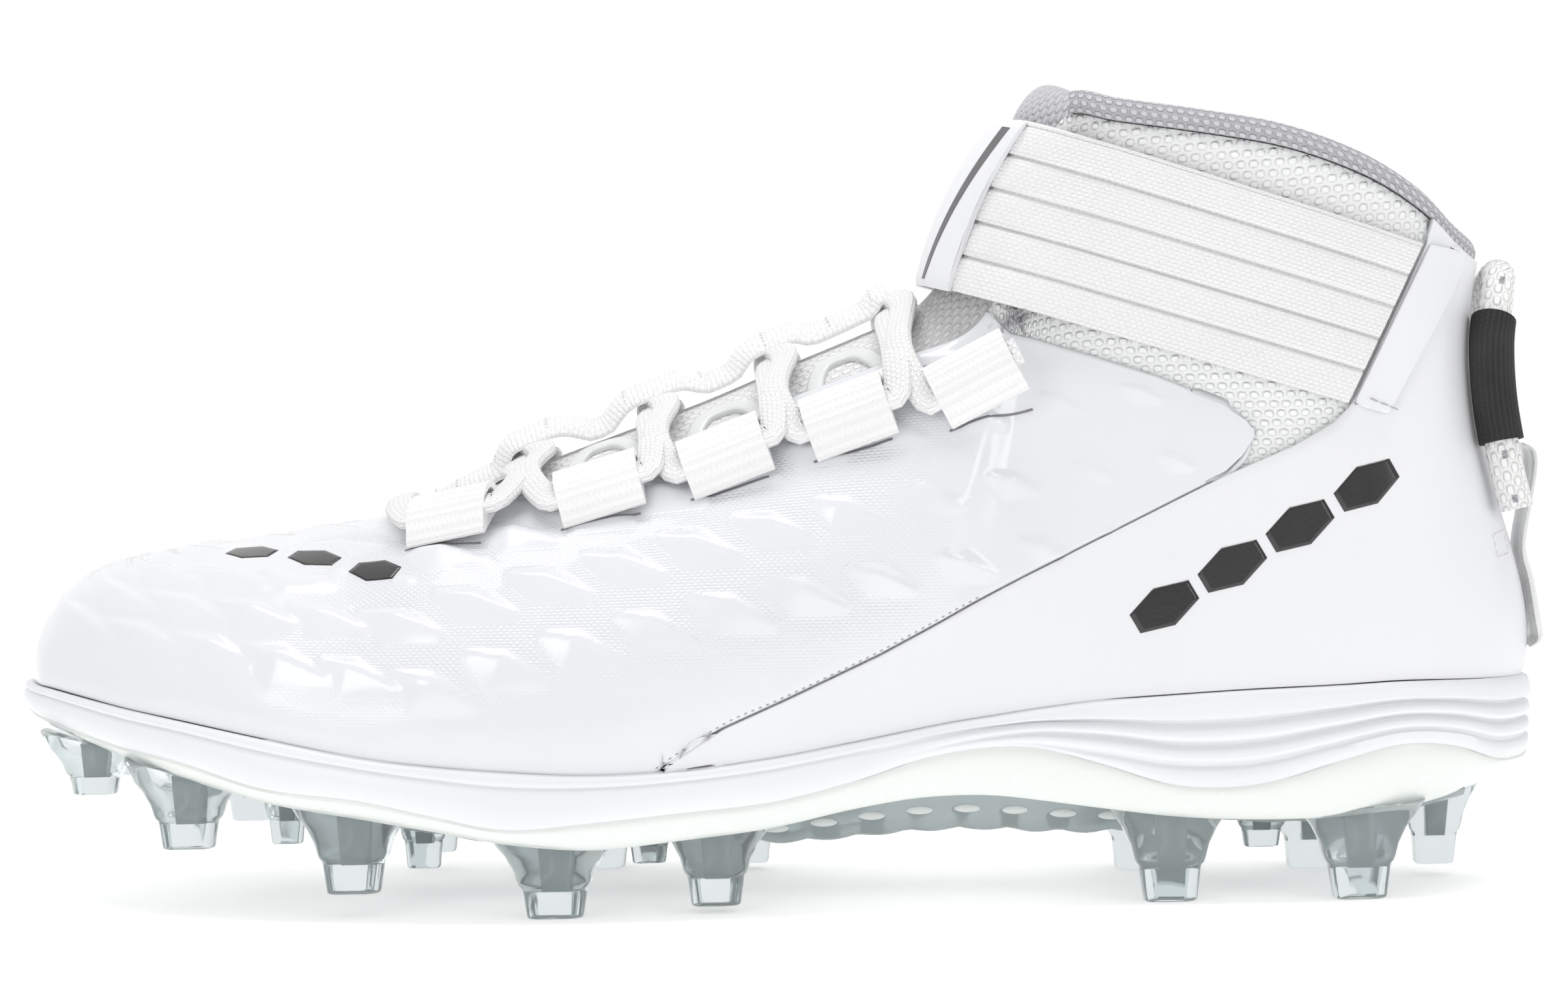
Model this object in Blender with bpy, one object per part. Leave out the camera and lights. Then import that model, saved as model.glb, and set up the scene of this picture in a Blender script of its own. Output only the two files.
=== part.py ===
# American football cleat, left shoe, as an assembly of separate closed solids.
# Lengths in the functions are millimetres: x from the toe tip to the heel, -y lateral, z up from the ground.

import math

import bmesh
import bpy
from mathutils import Matrix, Vector
from mathutils.bvhtree import BVHTree

MM = 0.001

# Driving dimensions
SHOE_LENGTH = 297.0  # sole, toe tip to heel
BALL_WIDTH = 104.0  # sole at the ball
HEEL_WIDTH = 72.0  # sole at the heel
HEEL_STACK = 42.0  # ground to the midsole's top edge at the heel
COLLAR_HEIGHT = 152.5  # ground to the collar edge at its front
UPPER_WALL = 1.8
UPPER_INSET = 2.8  # midsole edge to the bootie
SKIN_WALL = 0.9  # glossy front skin
QUARTER_WALL = 1.1  # rear overlay
PATCH_WALL = 0.9
GAP = 0.3  # clearance between pieces that touch
PLATE_FLOOR = 2.4
PLATE_RIM = 1.9
INSOLE_THICK = 4.2
INSOLE_CLEAR = 1.0
STUD_TIP_LENGTH = 10.0
STUD_TIP_WIDTH = 8.0
STUD_SINK = 1.4  # how far a stud's root is buried in the plate
RIB_DEPTH = 1.3  # grooves in the midsole's heel side
TONGUE_THICK = 5.0
RIBBON_WIDTH = 10.0
RIBBON_THICK = 1.2
LACE_WIDTH = 5.6
LACE_THICK = 2.5
LACE_OVER = 2.0  # how much higher the upper strand of a crossing lies
LOOP_LENGTH = 14.4
LOOP_HEIGHT = 10.6
LOOP_WALL = 1.0
STRAP_THICK = 2.0
STRAP_FRONT_THICK = 1.2
LINING_THICK = 4.0
LINING_ROLL = 4.4  # how far the padded roll stands above the collar edge
ROPE_DIAMETER = 6.6
SLEEVE_WALL = 0.8
TAB_WIDTH = 15.0
TAB_THICK = 1.1

LEVELS = 6  # mesh levels from the feather edge to the collar

# One row for each station round the sole, from the toe tip to the heel.
# along: share of the length. lateral, medial: shares of the width. heel: how far that width is the heel's.
# feather, split, low: midsole top edge, its lower edge and the plate's lower edge, as shares of the stack.
# tuck: how far the plate's lower edge is drawn in, as a share of the ball width.
SOLE_COLUMNS = ("along", "lateral", "medial", "heel", "feather", "split", "low", "tuck")
SOLE_ROWS = (
    (0.000, -0.048, 0.048, 0.00, 1.012, 0.905, 0.800, 0.080),
    (0.010, 0.096, 0.188, 0.00, 1.010, 0.890, 0.795, 0.078),
    (0.025, 0.168, 0.260, 0.00, 1.002, 0.862, 0.775, 0.072),
    (0.050, 0.245, 0.332, 0.00, 0.975, 0.817, 0.735, 0.062),
    (0.081, 0.317, 0.380, 0.00, 0.936, 0.763, 0.676, 0.050),
    (0.121, 0.380, 0.418, 0.00, 0.890, 0.707, 0.607, 0.042),
    (0.175, 0.442, 0.452, 0.00, 0.820, 0.600, 0.519, 0.036),
    (0.236, 0.486, 0.476, 0.00, 0.740, 0.552, 0.457, 0.032),
    (0.283, 0.508, 0.484, 0.00, 0.702, 0.486, 0.405, 0.030),
    (0.330, 0.519, 0.483, 0.00, 0.676, 0.424, 0.348, 0.030),
    (0.384, 0.519, 0.462, 0.00, 0.658, 0.450, 0.319, 0.030),
    (0.441, 0.500, 0.428, 0.00, 0.672, 0.486, 0.352, 0.030),
    (0.498, 0.466, 0.385, 0.00, 0.714, 0.522, 0.393, 0.030),
    (0.549, 0.459, 0.374, 0.20, 0.771, 0.600, 0.462, 0.030),
    (0.586, 0.458, 0.375, 0.35, 0.817, 0.680, 0.502, 0.030),
    (0.613, 0.468, 0.386, 0.50, 0.850, 0.719, 0.514, 0.030),
    (0.640, 0.481, 0.403, 0.65, 0.876, 0.738, 0.510, 0.030),
    (0.670, 0.497, 0.425, 0.80, 0.905, 0.726, 0.483, 0.030),
    (0.710, 0.525, 0.465, 1.00, 0.936, 0.648, 0.440, 0.032),
    (0.758, 0.514, 0.475, 1.00, 0.957, 0.548, 0.395, 0.034),
    (0.808, 0.507, 0.481, 1.00, 0.976, 0.548, 0.376, 0.036),
    (0.859, 0.492, 0.475, 1.00, 0.988, 0.643, 0.379, 0.040),
    (0.902, 0.456, 0.447, 1.00, 1.000, 0.714, 0.400, 0.050),
    (0.939, 0.389, 0.386, 1.00, 0.995, 0.695, 0.430, 0.062),
    (0.970, 0.285, 0.285, 1.00, 0.988, 0.620, 0.460, 0.075),
    (0.990, 0.160, 0.160, 1.00, 0.981, 0.612, 0.480, 0.084),
    (0.998, 0.076, 0.076, 1.00, 0.979, 0.625, 0.488, 0.088),
    (1.000, 0.000, 0.000, 1.00, 0.979, 0.630, 0.490, 0.090),
)

# The bootie's line from the feather edge to its top at the same stations.
# top: share of the length. height: share of the collar height.
# spread: half width at the top, share of the ball width.
# lean: degrees below level in which the top falls outwards. rise, belly, fall: how the wall leaves both ends.
UPPER_COLUMNS = ("top", "height", "spread", "lean", "rise", "belly", "fall")
UPPER_ROWS = (
    (0.0808, 0.430, 0.000, 2, 0.55, 0.008, 0.33),
    (0.0859, 0.432, 0.000, 2, 0.55, 0.008, 0.33),
    (0.0926, 0.435, 0.000, 2, 0.55, 0.010, 0.34),
    (0.1044, 0.439, 0.000, 2, 0.56, 0.012, 0.36),
    (0.1212, 0.443, 0.000, 2, 0.57, 0.015, 0.38),
    (0.1448, 0.449, 0.000, 2, 0.58, 0.018, 0.40),
    (0.1852, 0.460, 0.000, 3, 0.58, 0.020, 0.42),
    (0.2357, 0.476, 0.000, 6, 0.56, 0.020, 0.42),
    (0.2828, 0.496, 0.115, 16, 0.53, 0.020, 0.42),
    (0.3300, 0.516, 0.159, 24, 0.50, 0.020, 0.42),
    (0.3872, 0.548, 0.183, 31, 0.47, 0.020, 0.42),
    (0.4512, 0.587, 0.197, 37, 0.44, 0.018, 0.42),
    (0.5152, 0.636, 0.212, 43, 0.42, 0.015, 0.42),
    (0.5758, 0.679, 0.231, 50, 0.40, 0.012, 0.42),
    (0.6263, 0.715, 0.250, 60, 0.38, 0.010, 0.40),
    (0.6481, 0.774, 0.250, 74, 0.36, 0.008, 0.38),
    (0.6630, 0.859, 0.240, 84, 0.34, 0.006, 0.36),
    (0.6770, 0.944, 0.234, 90, 0.33, 0.006, 0.36),
    (0.6930, 0.987, 0.244, 92, 0.32, 0.006, 0.36),
    (0.7239, 0.977, 0.274, 93, 0.31, 0.006, 0.36),
    (0.7778, 0.961, 0.298, 94, 0.30, 0.008, 0.37),
    (0.8316, 0.941, 0.303, 94, 0.30, 0.010, 0.38),
    (0.8822, 0.905, 0.279, 94, 0.31, 0.015, 0.39),
    (0.9192, 0.862, 0.231, 94, 0.33, 0.025, 0.40),
    (0.9421, 0.823, 0.159, 96, 0.31, 0.045, 0.44),
    (0.9573, 0.803, 0.087, 100, 0.28, 0.058, 0.46),
    (0.9610, 0.798, 0.038, 103, 0.27, 0.062, 0.47),
    (0.9620, 0.797, 0.000, 103, 0.27, 0.063, 0.47),
)
THROAT_ROW = 7  # the last row whose two sides meet on the vamp
COLLAR_ROW = 18  # the first row on the collar's top edge
HEEL_ROW = len(UPPER_ROWS) - 1
RIDGE_SHIFT = 0.038  # the toe's ridge lies this share of the ball width towards the big toe

# Side outlines of the overlays: (share of length, share of collar height)
SEAM_LINE = (
    (0.405, 0.160), (0.4646, 0.2348), (0.5057, 0.2689), (0.5657, 0.3213), (0.6259, 0.3816),
    (0.6764, 0.4289), (0.7266, 0.4761), (0.7895, 0.5364),
)
SKIN_TOP = (
    (0.8007, 0.5580), (0.8081, 0.5823), (0.8057, 0.6013), (0.7862, 0.6289), (0.7465, 0.6610),
    (0.7067, 0.6859), (0.6670, 0.7089), (0.6530, 0.7150), (0.6200, 0.7900),
)
QUARTER_TOP = (
    (0.8327, 0.5711), (0.8579, 0.5993), (0.8704, 0.6216), (0.9205, 0.8216), (0.9300, 0.9200),
)
PATCH_LINE = ((0.8704, 0.6216), (0.9205, 0.8216), (0.9500, 0.8110), (0.8930, 0.6080))

# Strap edges in side view, from the patch to the ankle's front: (share of length, share of collar height)
STRAP_TOP = ((0.9185, 0.8229), (0.6519, 0.9921))
STRAP_LOW = ((0.8670, 0.6250), (0.6031, 0.7803))
STRAP_SWEEP = (0.070, 0.074)  # how far behind those ends the bend round the front starts, shares of length
STRAP_FRONT = (-0.0084, -0.0050)  # how far in front of those ends the band passes, shares of the length
STRAP_BULGE = 0.0067  # how much further forward it passes at half height
STRAP_BEND = 3.2  # squareness of the bend, 2 for an ellipse

# Studs: share of length, share of ball width from the middle, size, tip height as a share of the stack
STUD_COLUMNS = ("along", "across", "size", "tip")
STUDS = (
    (0.0560, -0.165, 0.86, 0.520),
    (0.1220, -0.285, 1.00, 0.298),
    (0.2300, -0.355, 1.03, 0.108),
    (0.3590, -0.395, 1.08, 0.000),
    (0.4610, -0.352, 0.95, 0.034),
    (0.7540, -0.250, 1.05, 0.000),
    (0.8770, -0.240, 1.05, 0.000),
    (0.0670, 0.225, 0.80, 0.510),
    (0.1400, 0.315, 0.92, 0.260),
    (0.2620, 0.350, 0.95, 0.085),
    (0.3770, 0.352, 1.05, 0.000),
    (0.4780, 0.290, 0.95, 0.034),
    (0.7480, 0.245, 1.05, 0.000),
    (0.8660, 0.240, 1.05, 0.000),
    (0.9410, 0.085, 0.80, 0.055),
    (0.1740, 0.010, 0.62, 0.230),
    (0.2650, 0.000, 0.66, 0.112),
    (0.4150, -0.020, 0.66, 0.130),
    (0.8220, 0.000, 0.70, 0.170),
)

# A stud's section from tip to root: share of its height, size beside the tip's
STUD_RINGS = ((0.00, 1.00), (0.38, 1.16), (0.46, 1.34), (1.00, 2.40))

# Stiffening spines under the plate: name, share of length from and to, depth, width at the ends
SPINES = (("arch_spine", 0.42, 0.80, 9.0, 22.0), ("forefoot_spine", 0.115, 0.46, 4.6, 30.0))

# Tongue's outer middle line: share of length, share of collar height,
# half width as a share of the ball width,
# thickness share, and how far its sides fall away straight down the shoe instead of backwards.
TONGUE_ROWS = (
    (0.2220, 0.4480, 0.110, 0.50, 1.0),
    (0.2520, 0.4645, 0.150, 0.55, 1.0),
    (0.2760, 0.4900, 0.190, 0.70, 1.0),
    (0.3000, 0.5150, 0.205, 0.80, 1.0),
    (0.3370, 0.5460, 0.225, 0.85, 1.0),
    (0.3970, 0.5890, 0.235, 0.90, 1.0),
    (0.4580, 0.6330, 0.245, 1.00, 1.0),
    (0.5120, 0.6770, 0.248, 1.05, 1.0),
    (0.5590, 0.7140, 0.248, 1.10, 1.0),
    (0.5920, 0.7430, 0.235, 1.15, 1.0),
    (0.6155, 0.7930, 0.215, 1.20, 1.0),
    (0.6215, 0.8350, 0.205, 1.20, 0.9),
    (0.6370, 0.9050, 0.205, 1.30, 0.8),
    (0.6580, 0.9780, 0.205, 1.40, 0.5),
    (0.6720, 1.0350, 0.205, 1.40, 0.2),
)
TONGUE_ACROSS = 8
ANKLE_CURL = 2.7  # how much the tongue curls round the ankle

# Lace loops: share of the length at each loop's middle
LOOPS_ALONG = (0.306, 0.390, 0.467, 0.545, 0.621)
LOOP_DROP = 6.2  # from the eyestay edge down to the loop

# One leg of the heel's rope loop from its foot to the top: share of ball width across, share of collar height
ROPE_LEG = (
    (0.140, 0.478), (0.134, 0.540), (0.120, 0.620), (0.098, 0.695),
    (0.068, 0.752), (0.036, 0.778), (0.000, 0.787),
)
SLEEVE_SPAN = (0.22, 0.585)  # where the sleeve starts and ends on a leg

# Heel tab's outer line: share of collar height, share of length
TAB_ROWS = (
    (0.566, 0.9985), (0.555, 1.0045), (0.530, 1.0054), (0.479, 1.0017), (0.429, 0.9990), (0.388, 1.0040),
    (0.327, 1.0091), (0.312, 1.0091), (0.304, 1.0037),
)


def closed_values(rows, column, mirror=None):
    # One value for each station round the whole loop: lateral from toe to heel, then medial back to the toe.
    back = mirror if mirror is not None else [row[column] for row in rows]
    return [row[column] for row in rows] + [back[i] for i in range(len(rows) - 2, 0, -1)]


def catmull(p0, p1, p2, p3, t):
    return 0.5 * (
        2 * p1 + (p2 - p0) * t + (2 * p0 - 5 * p1 + 4 * p2 - p3) * t * t
        + (3 * p1 - p0 - 3 * p2 + p3) * t ** 3
    )


def around(values, k):
    # Smooth value at station k of a closed list.
    n = len(values)
    i = math.floor(k)
    return catmull(values[(i - 1) % n], values[i % n], values[(i + 1) % n], values[(i + 2) % n], k - i)


def along(points, t):
    # Smooth value at t, from 0 to 1, of an open list of numbers or vectors.
    s = min(max(t, 0.0), 1.0) * (len(points) - 1)
    i = min(int(s), len(points) - 2)
    first = points[i - 1] if i > 0 else 2 * points[0] - points[1]
    last = points[i + 2] if i + 2 < len(points) else 2 * points[-1] - points[-2]
    return catmull(first, points[i], points[i + 1], last, s - i)


def width_of(row):
    return BALL_WIDTH * (1 - row[3]) + HEEL_WIDTH * row[3]


OUTLINE_X = closed_values([(row[0] * SHOE_LENGTH,) for row in SOLE_ROWS], 0)
OUTLINE_Y = closed_values(
    [(-row[1] * width_of(row),) for row in SOLE_ROWS], 0, [row[2] * width_of(row) for row in SOLE_ROWS]
)
FEATHER, SPLIT, LOW = (
    closed_values([(row[c] * HEEL_STACK,) for row in SOLE_ROWS], 0) for c in (4, 5, 6)
)
TUCK = closed_values([(row[7] * BALL_WIDTH,) for row in SOLE_ROWS], 0)
TOP_X = closed_values([(row[0] * SHOE_LENGTH,) for row in UPPER_ROWS], 0)
TOP_Z = closed_values([(row[1] * COLLAR_HEIGHT,) for row in UPPER_ROWS], 0)
SPREAD = closed_values([(row[2] * BALL_WIDTH,) for row in UPPER_ROWS], 0)
LEAN, RISE = (closed_values(UPPER_ROWS, c) for c in (3, 4))
BELLY = closed_values([(row[5] * BALL_WIDTH,) for row in UPPER_ROWS], 0)
FALL = closed_values(UPPER_ROWS, 6)
STATIONS = len(OUTLINE_X)


def outline(k, inset):
    # Point of the sole's plan outline, drawn in by inset, and its outward normal.
    step = 0.05
    dx = around(OUTLINE_X, k + step) - around(OUTLINE_X, k - step)
    dy = around(OUTLINE_Y, k + step) - around(OUTLINE_Y, k - step)
    normal = Vector((dy, -dx)).normalized()
    return Vector((around(OUTLINE_X, k), around(OUTLINE_Y, k))) - normal * inset, normal


def ridge_y(x):
    # The vamp's ridge bends towards the big toe.
    fade = max(0.0, 1 - x / (0.34 * SHOE_LENGTH))
    return RIDGE_SHIFT * BALL_WIDTH * fade * 1.6


def is_lateral(k):
    return (k % STATIONS) <= HEEL_ROW


def feather_point(k):
    place, normal = outline(k, UPPER_INSET)
    return Vector((place.x, place.y, around(FEATHER, k) + GAP)), normal


def top_point(k):
    x = around(TOP_X, k)
    spread = max(0.0, around(SPREAD, k))
    row = min(k % STATIONS, STATIONS - k % STATIONS)
    if row <= THROAT_ROW or row == HEEL_ROW:
        spread = 0.0
    side = -1 if is_lateral(k) else 1
    return Vector((x, ridge_y(x) + side * spread, around(TOP_Z, k)))


def upper_point(k, v):
    # The bootie's outer surface: station k round the shoe, v from 0 at the feather edge to 1 at the top.
    foot, normal = feather_point(k)
    top = top_point(k)
    out = Vector((normal.x, normal.y, 0))
    lean = math.radians(around(LEAN, k))
    low = foot + Vector((0, 0, around(RISE, k) * (top.z - foot.z))) + out * around(BELLY, k)
    away = out * math.cos(lean) - Vector((0, 0, math.sin(lean)))
    high = top + away * around(FALL, k) * (top - foot).length
    return (
        foot * (1 - v) ** 3 + low * 3 * v * (1 - v) ** 2 + high * 3 * v * v * (1 - v) + top * v ** 3
    )


def surface_grid():
    # Points and outward normals of the bootie's outer surface, at every station and level.
    count = STATIONS
    points = [[upper_point(i, j / LEVELS) for j in range(LEVELS + 1)] for i in range(count)]
    sums = {}
    for i in range(count):
        for j in range(LEVELS):
            a, b = points[i][j], points[(i + 1) % count][j]
            c, d = points[(i + 1) % count][j + 1], points[i][j + 1]
            face = (c - a).cross(d - b)
            for corner in (a, b, c, d):
                key = place_key(corner)
                sums[key] = sums.get(key, Vector()) + face
    normals = [[sums[place_key(p)].normalized() for p in line] for line in points]
    for line in normals:
        line[0] = Vector((line[0].x, line[0].y, 0)).normalized()
    return points, normals


def place_key(p):
    return round(p.x, 3), round(p.y, 3), round(p.z, 3)


def material(name, colour, roughness, metallic=0.0, alpha=1.0, transmission=0.0):
    made = bpy.data.materials.new(name)
    made.use_nodes = True
    shader = made.node_tree.nodes["Principled BSDF"]
    shader.inputs["Base Color"].default_value = (*colour, 1.0)
    shader.inputs["Roughness"].default_value = roughness
    shader.inputs["Metallic"].default_value = metallic
    shader.inputs["Alpha"].default_value = alpha
    shader.inputs["Transmission Weight"].default_value = transmission
    made.diffuse_color = (*colour, 1.0)
    return made


def solid(name, points, faces, finish, helper=False):
    # One named object from points in millimetres.
    mesh = bpy.data.meshes.new(name)
    mesh.from_pydata([Vector(p) * MM for p in points], [], faces)
    work = bmesh.new()
    work.from_mesh(mesh)
    bmesh.ops.remove_doubles(work, verts=work.verts, dist=0.004 * MM)
    bmesh.ops.dissolve_degenerate(work, edges=work.edges, dist=0.002 * MM)
    bmesh.ops.triangulate(work, faces=work.faces)
    bmesh.ops.recalc_face_normals(work, faces=work.faces)
    if work.calc_volume(signed=True) < 0:
        bmesh.ops.reverse_faces(work, faces=work.faces)
    work.to_mesh(mesh)
    work.free()
    made = bpy.data.objects.new(name, mesh)
    bpy.context.scene.collection.objects.link(made)
    mesh.shade_smooth()
    mesh.set_sharp_from_angle(angle=math.radians(40))
    if finish is not None:
        mesh.materials.append(finish)
    if helper:
        made.hide_render = True
        made.display_type = "WIRE"
    return made


def boolean(target, other, operation):
    step = target.modifiers.new(operation.lower() + "_" + other.name, "BOOLEAN")
    step.object = other
    step.operation = operation
    step.solver = "EXACT"


def shell(name, grid, inner, outer, finish):
    # A closed wall between two offsets of the bootie's surface, open at the throat, collar and underneath.
    points, normals = grid
    count = len(points)
    levels = LEVELS + 1
    spots = [(i, j) for i in range(count) for j in range(levels)]
    made = [points[i][j] + normals[i][j] * offset for offset in (outer, inner) for i, j in spots]
    side = count * levels

    def spot(layer, i, j):
        return layer * side + (i % count) * levels + j

    faces = []
    for i in range(count):
        for j in range(LEVELS):
            quad = [(i, j), (i + 1, j), (i + 1, j + 1), (i, j + 1)]
            faces.append([spot(0, *q) for q in quad])
            faces.append([spot(1, *q) for q in reversed(quad)])
        faces.append([spot(0, i + 1, 0), spot(0, i, 0), spot(1, i, 0), spot(1, i + 1, 0)])
        row = min(i, count - i)
        after = min(i + 1, count - i - 1)
        if max(row, after) > THROAT_ROW:
            rim = [(0, i, LEVELS), (0, i + 1, LEVELS), (1, i + 1, LEVELS), (1, i, LEVELS)]
            faces.append([spot(*corner) for corner in rim])
    return solid(name, made, faces, finish)


def prism(name, outline_points, y_from, y_to):
    # A helper: a side outline in x and z, extruded across the shoe.
    n = len(outline_points)
    points = [(x, y, z) for y in (y_from, y_to) for x, z in outline_points]
    faces = [list(range(n)), list(range(2 * n - 1, n - 1, -1))]
    faces += [[i, (i + 1) % n, n + (i + 1) % n, n + i] for i in range(n)]
    return solid(name, points, faces, None, helper=True)


def lofted(name, rings, finish, close_ends=True):
    # A closed solid through rings of equal count. Each end is capped by rungs between the two sides.
    count = len(rings[0])
    points = [p for ring in rings for p in ring]
    faces = []
    for r in range(len(rings) - 1):
        for i in range(count):
            a, b = r * count + i, r * count + (i + 1) % count
            faces.append([a, b, b + count, a + count])
    if close_ends:
        for start in (0, (len(rings) - 1) * count):
            half = count // 2
            for i in range(half):
                lateral, medial = start + i, start + (count - i) % count
                rung = [lateral, lateral + 1, start + (count - i - 1) % count, medial]
                faces.append(list(dict.fromkeys(rung)))
    return solid(name, points, faces, finish)


def sole_ring(inset, height):
    # A ring round the sole: inset and height are functions of the station.
    ring = []
    for k in range(STATIONS):
        place, _ = outline(k, inset(k))
        ring.append(Vector((place.x, place.y, height(k))))
    return ring


def heel_weight(k):
    # 0 in the forefoot, 1 round the heel, for the ribs and the heel's bulge.
    share = around(OUTLINE_X, k) / SHOE_LENGTH
    return min(max((share - 0.66) / 0.10, 0.0), 1.0)


def midsole(finish):
    def between(share):
        return lambda k: around(FEATHER, k) * (1 - share) + around(SPLIT, k) * share

    def groove(depth, swell):
        return lambda k: depth * heel_weight(k) - swell * (1 - heel_weight(k))

    floor = lambda k: around(LOW, k) + PLATE_FLOOR + GAP
    rings = [
        sole_ring(lambda k: 1.4, lambda k: around(FEATHER, k)),
        sole_ring(lambda k: 0.3, lambda k: around(FEATHER, k) - 0.9),
        sole_ring(groove(-0.5, 0.4), between(0.26)),
        sole_ring(groove(RIB_DEPTH, 0.5), between(0.36)),
        sole_ring(groove(-0.2, 0.5), between(0.48)),
        sole_ring(groove(RIB_DEPTH, 0.4), between(0.60)),
        sole_ring(groove(0.1, 0.3), between(0.74)),
        sole_ring(lambda k: 0.7, lambda k: around(SPLIT, k) + GAP),
        sole_ring(lambda k: PLATE_RIM + GAP + 0.5, lambda k: around(SPLIT, k) + GAP),
        sole_ring(lambda k: around(TUCK, k) + 2.6 + GAP, floor),
    ]
    return lofted("midsole", rings, finish)


def stud_ring(x, y, z, length, width, sides=8):
    # A rounded block section, blunt towards the toe and tapered towards the heel.
    ring = []
    for i in range(sides):
        a = 2 * math.pi * (i + 0.5) / sides
        c, s = math.cos(a), math.sin(a)
        taper = 1.0 - 0.22 * c
        ahead = length / 2 * math.copysign(abs(c) ** 0.7, c)
        aside = width / 2 * math.copysign(abs(s) ** 0.7, s) * taper
        ring.append(Vector((x + ahead, y + aside, z)))
    return ring


def plate_low(x):
    # The plate's underside height at a distance along the shoe.
    for k in range(HEEL_ROW):
        if OUTLINE_X[k] <= x <= OUTLINE_X[k + 1]:
            t = (x - OUTLINE_X[k]) / (OUTLINE_X[k + 1] - OUTLINE_X[k])
            return LOW[k] * (1 - t) + LOW[k + 1] * t
    return LOW[HEEL_ROW]


def tube(rings, points, faces):
    # Adds rings as one closed piece with flat ends to a growing list of points and faces.
    start, sides = len(points), len(rings[0])
    for ring in rings:
        points.extend(ring)
    for r in range(len(rings) - 1):
        for i in range(sides):
            a, b = start + r * sides + i, start + r * sides + (i + 1) % sides
            faces.append([a, b, b + sides, a + sides])
    faces.append([start + i for i in reversed(range(sides))])
    faces.append([start + (len(rings) - 1) * sides + i for i in range(sides)])


def studs(finish):
    # Every stud flares at its root and has a step above its tip.
    points, faces = [], []
    for share, across, size, tip in STUDS:
        x, y = share * SHOE_LENGTH, across * BALL_WIDTH
        root = plate_low(x) + STUD_SINK
        foot = tip * HEEL_STACK
        lean = -0.10 * (root - foot) * (1 if y < 0 else -1) * min(abs(y) / 10, 1)
        rings = []
        for share_up, grow in STUD_RINGS:
            length = STUD_TIP_LENGTH * size * grow
            width = STUD_TIP_WIDTH * size * min(grow, 1.80)
            ring = stud_ring(x, y - lean * share_up, foot + (root - foot) * share_up, length, width)
            if share_up == 1.0:
                ring = [Vector((p.x, p.y, plate_low(p.x) + STUD_SINK)) for p in ring]
            rings.append(ring)
        tube(rings, points, faces)
    return solid("stud_set", points, faces, finish, helper=True)


def spine(name, start, end, deepest, width, finish):
    # A stiffening spine moulded on the plate's underside.
    rows = 7
    points, faces, rings = [], [], []
    for r in range(rows):
        t = r / (rows - 1)
        x = (start + (end - start) * t) * SHOE_LENGTH
        top = plate_low(x) + STUD_SINK
        depth = deepest * math.sin(math.pi * t) ** 0.8 + STUD_SINK * 0.4
        half = width / 2 * (0.75 + 0.25 * abs(2 * t - 1))
        rings.append([
            Vector((x, -half, top)), Vector((x, -half * 0.62, top - STUD_SINK - depth)),
            Vector((x, half * 0.62, top - STUD_SINK - depth)), Vector((x, half, top)),
        ])
    tube(rings, points, faces)
    return solid(name, points, faces, finish, helper=True)


def outsole_plate(finish):
    floor = lambda k: around(LOW, k) + PLATE_FLOOR
    halfway = lambda k: around(SPLIT, k) * 0.45 + around(LOW, k) * 0.55
    rings = [
        sole_ring(lambda k: around(TUCK, k) + 2.6, floor),
        sole_ring(lambda k: PLATE_RIM + 0.5, lambda k: around(SPLIT, k)),
        sole_ring(lambda k: 0.6, lambda k: around(SPLIT, k)),
        sole_ring(lambda k: 0.5 + 0.30 * around(TUCK, k), halfway),
        sole_ring(lambda k: around(TUCK, k), lambda k: around(LOW, k) + 0.4),
        sole_ring(lambda k: around(TUCK, k) + 1.6, lambda k: around(LOW, k)),
    ]
    plate = lofted("outsole_plate", rings, finish)
    for row in SPINES:
        boolean(plate, spine(*row, finish), "UNION")
    boolean(plate, studs(finish), "UNION")
    return plate


def insole(finish):
    edge = UPPER_INSET + UPPER_WALL + INSOLE_CLEAR
    rings = [
        sole_ring(lambda k: edge + 0.3, lambda k: around(FEATHER, k) + GAP),
        sole_ring(lambda k: edge, lambda k: around(FEATHER, k) + INSOLE_THICK),
        sole_ring(lambda k: edge + 3.0, lambda k: around(FEATHER, k) + INSOLE_THICK - 0.6),
    ]
    return lofted("insole", rings, finish)


def side_polygon(shares, before=(), after=()):
    inside = [(x * SHOE_LENGTH, z * COLLAR_HEIGHT) for x, z in shares]
    return list(before) + inside + list(after)


def overlays(grid, skin_finish, quarter_finish, patch_finish):
    reach = BALL_WIDTH
    skin = shell("vamp_shell", grid, GAP, GAP + SKIN_WALL, skin_finish)
    front = side_polygon(
        SEAM_LINE + SKIN_TOP, before=[(-20.0, 0.0), (SEAM_LINE[0][0] * SHOE_LENGTH, 0.0)],
        after=[(-20.0, COLLAR_HEIGHT * 0.85)],
    )
    boolean(skin, prism("skin_outline", front, -reach, reach), "INTERSECT")
    quarter = shell("heel_quarter", grid, GAP, GAP + QUARTER_WALL, quarter_finish)
    seam = [(x + GAP * 1.2 / SHOE_LENGTH, z - GAP * 0.8 / COLLAR_HEIGHT) for x, z in SEAM_LINE]
    rear = side_polygon(
        tuple(seam) + QUARTER_TOP, before=[(seam[0][0] * SHOE_LENGTH, 0.0)],
        after=[(SHOE_LENGTH + 20, COLLAR_HEIGHT * 0.92), (SHOE_LENGTH + 20, 0.0)],
    )
    boolean(quarter, prism("quarter_outline", rear, -reach, reach), "INTERSECT")
    inner = GAP + QUARTER_WALL + GAP
    patches = []
    for name, y_from, y_to in (("strap_patch_lateral", -reach, 0.0), ("strap_patch_medial", 0.0, reach)):
        patch = shell(name, grid, inner, inner + PATCH_WALL, patch_finish)
        boolean(patch, prism(name + "_outline", side_polygon(PATCH_LINE), y_from, y_to), "INTERSECT")
        patches.append(patch)
    return [skin, quarter, *patches]


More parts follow.
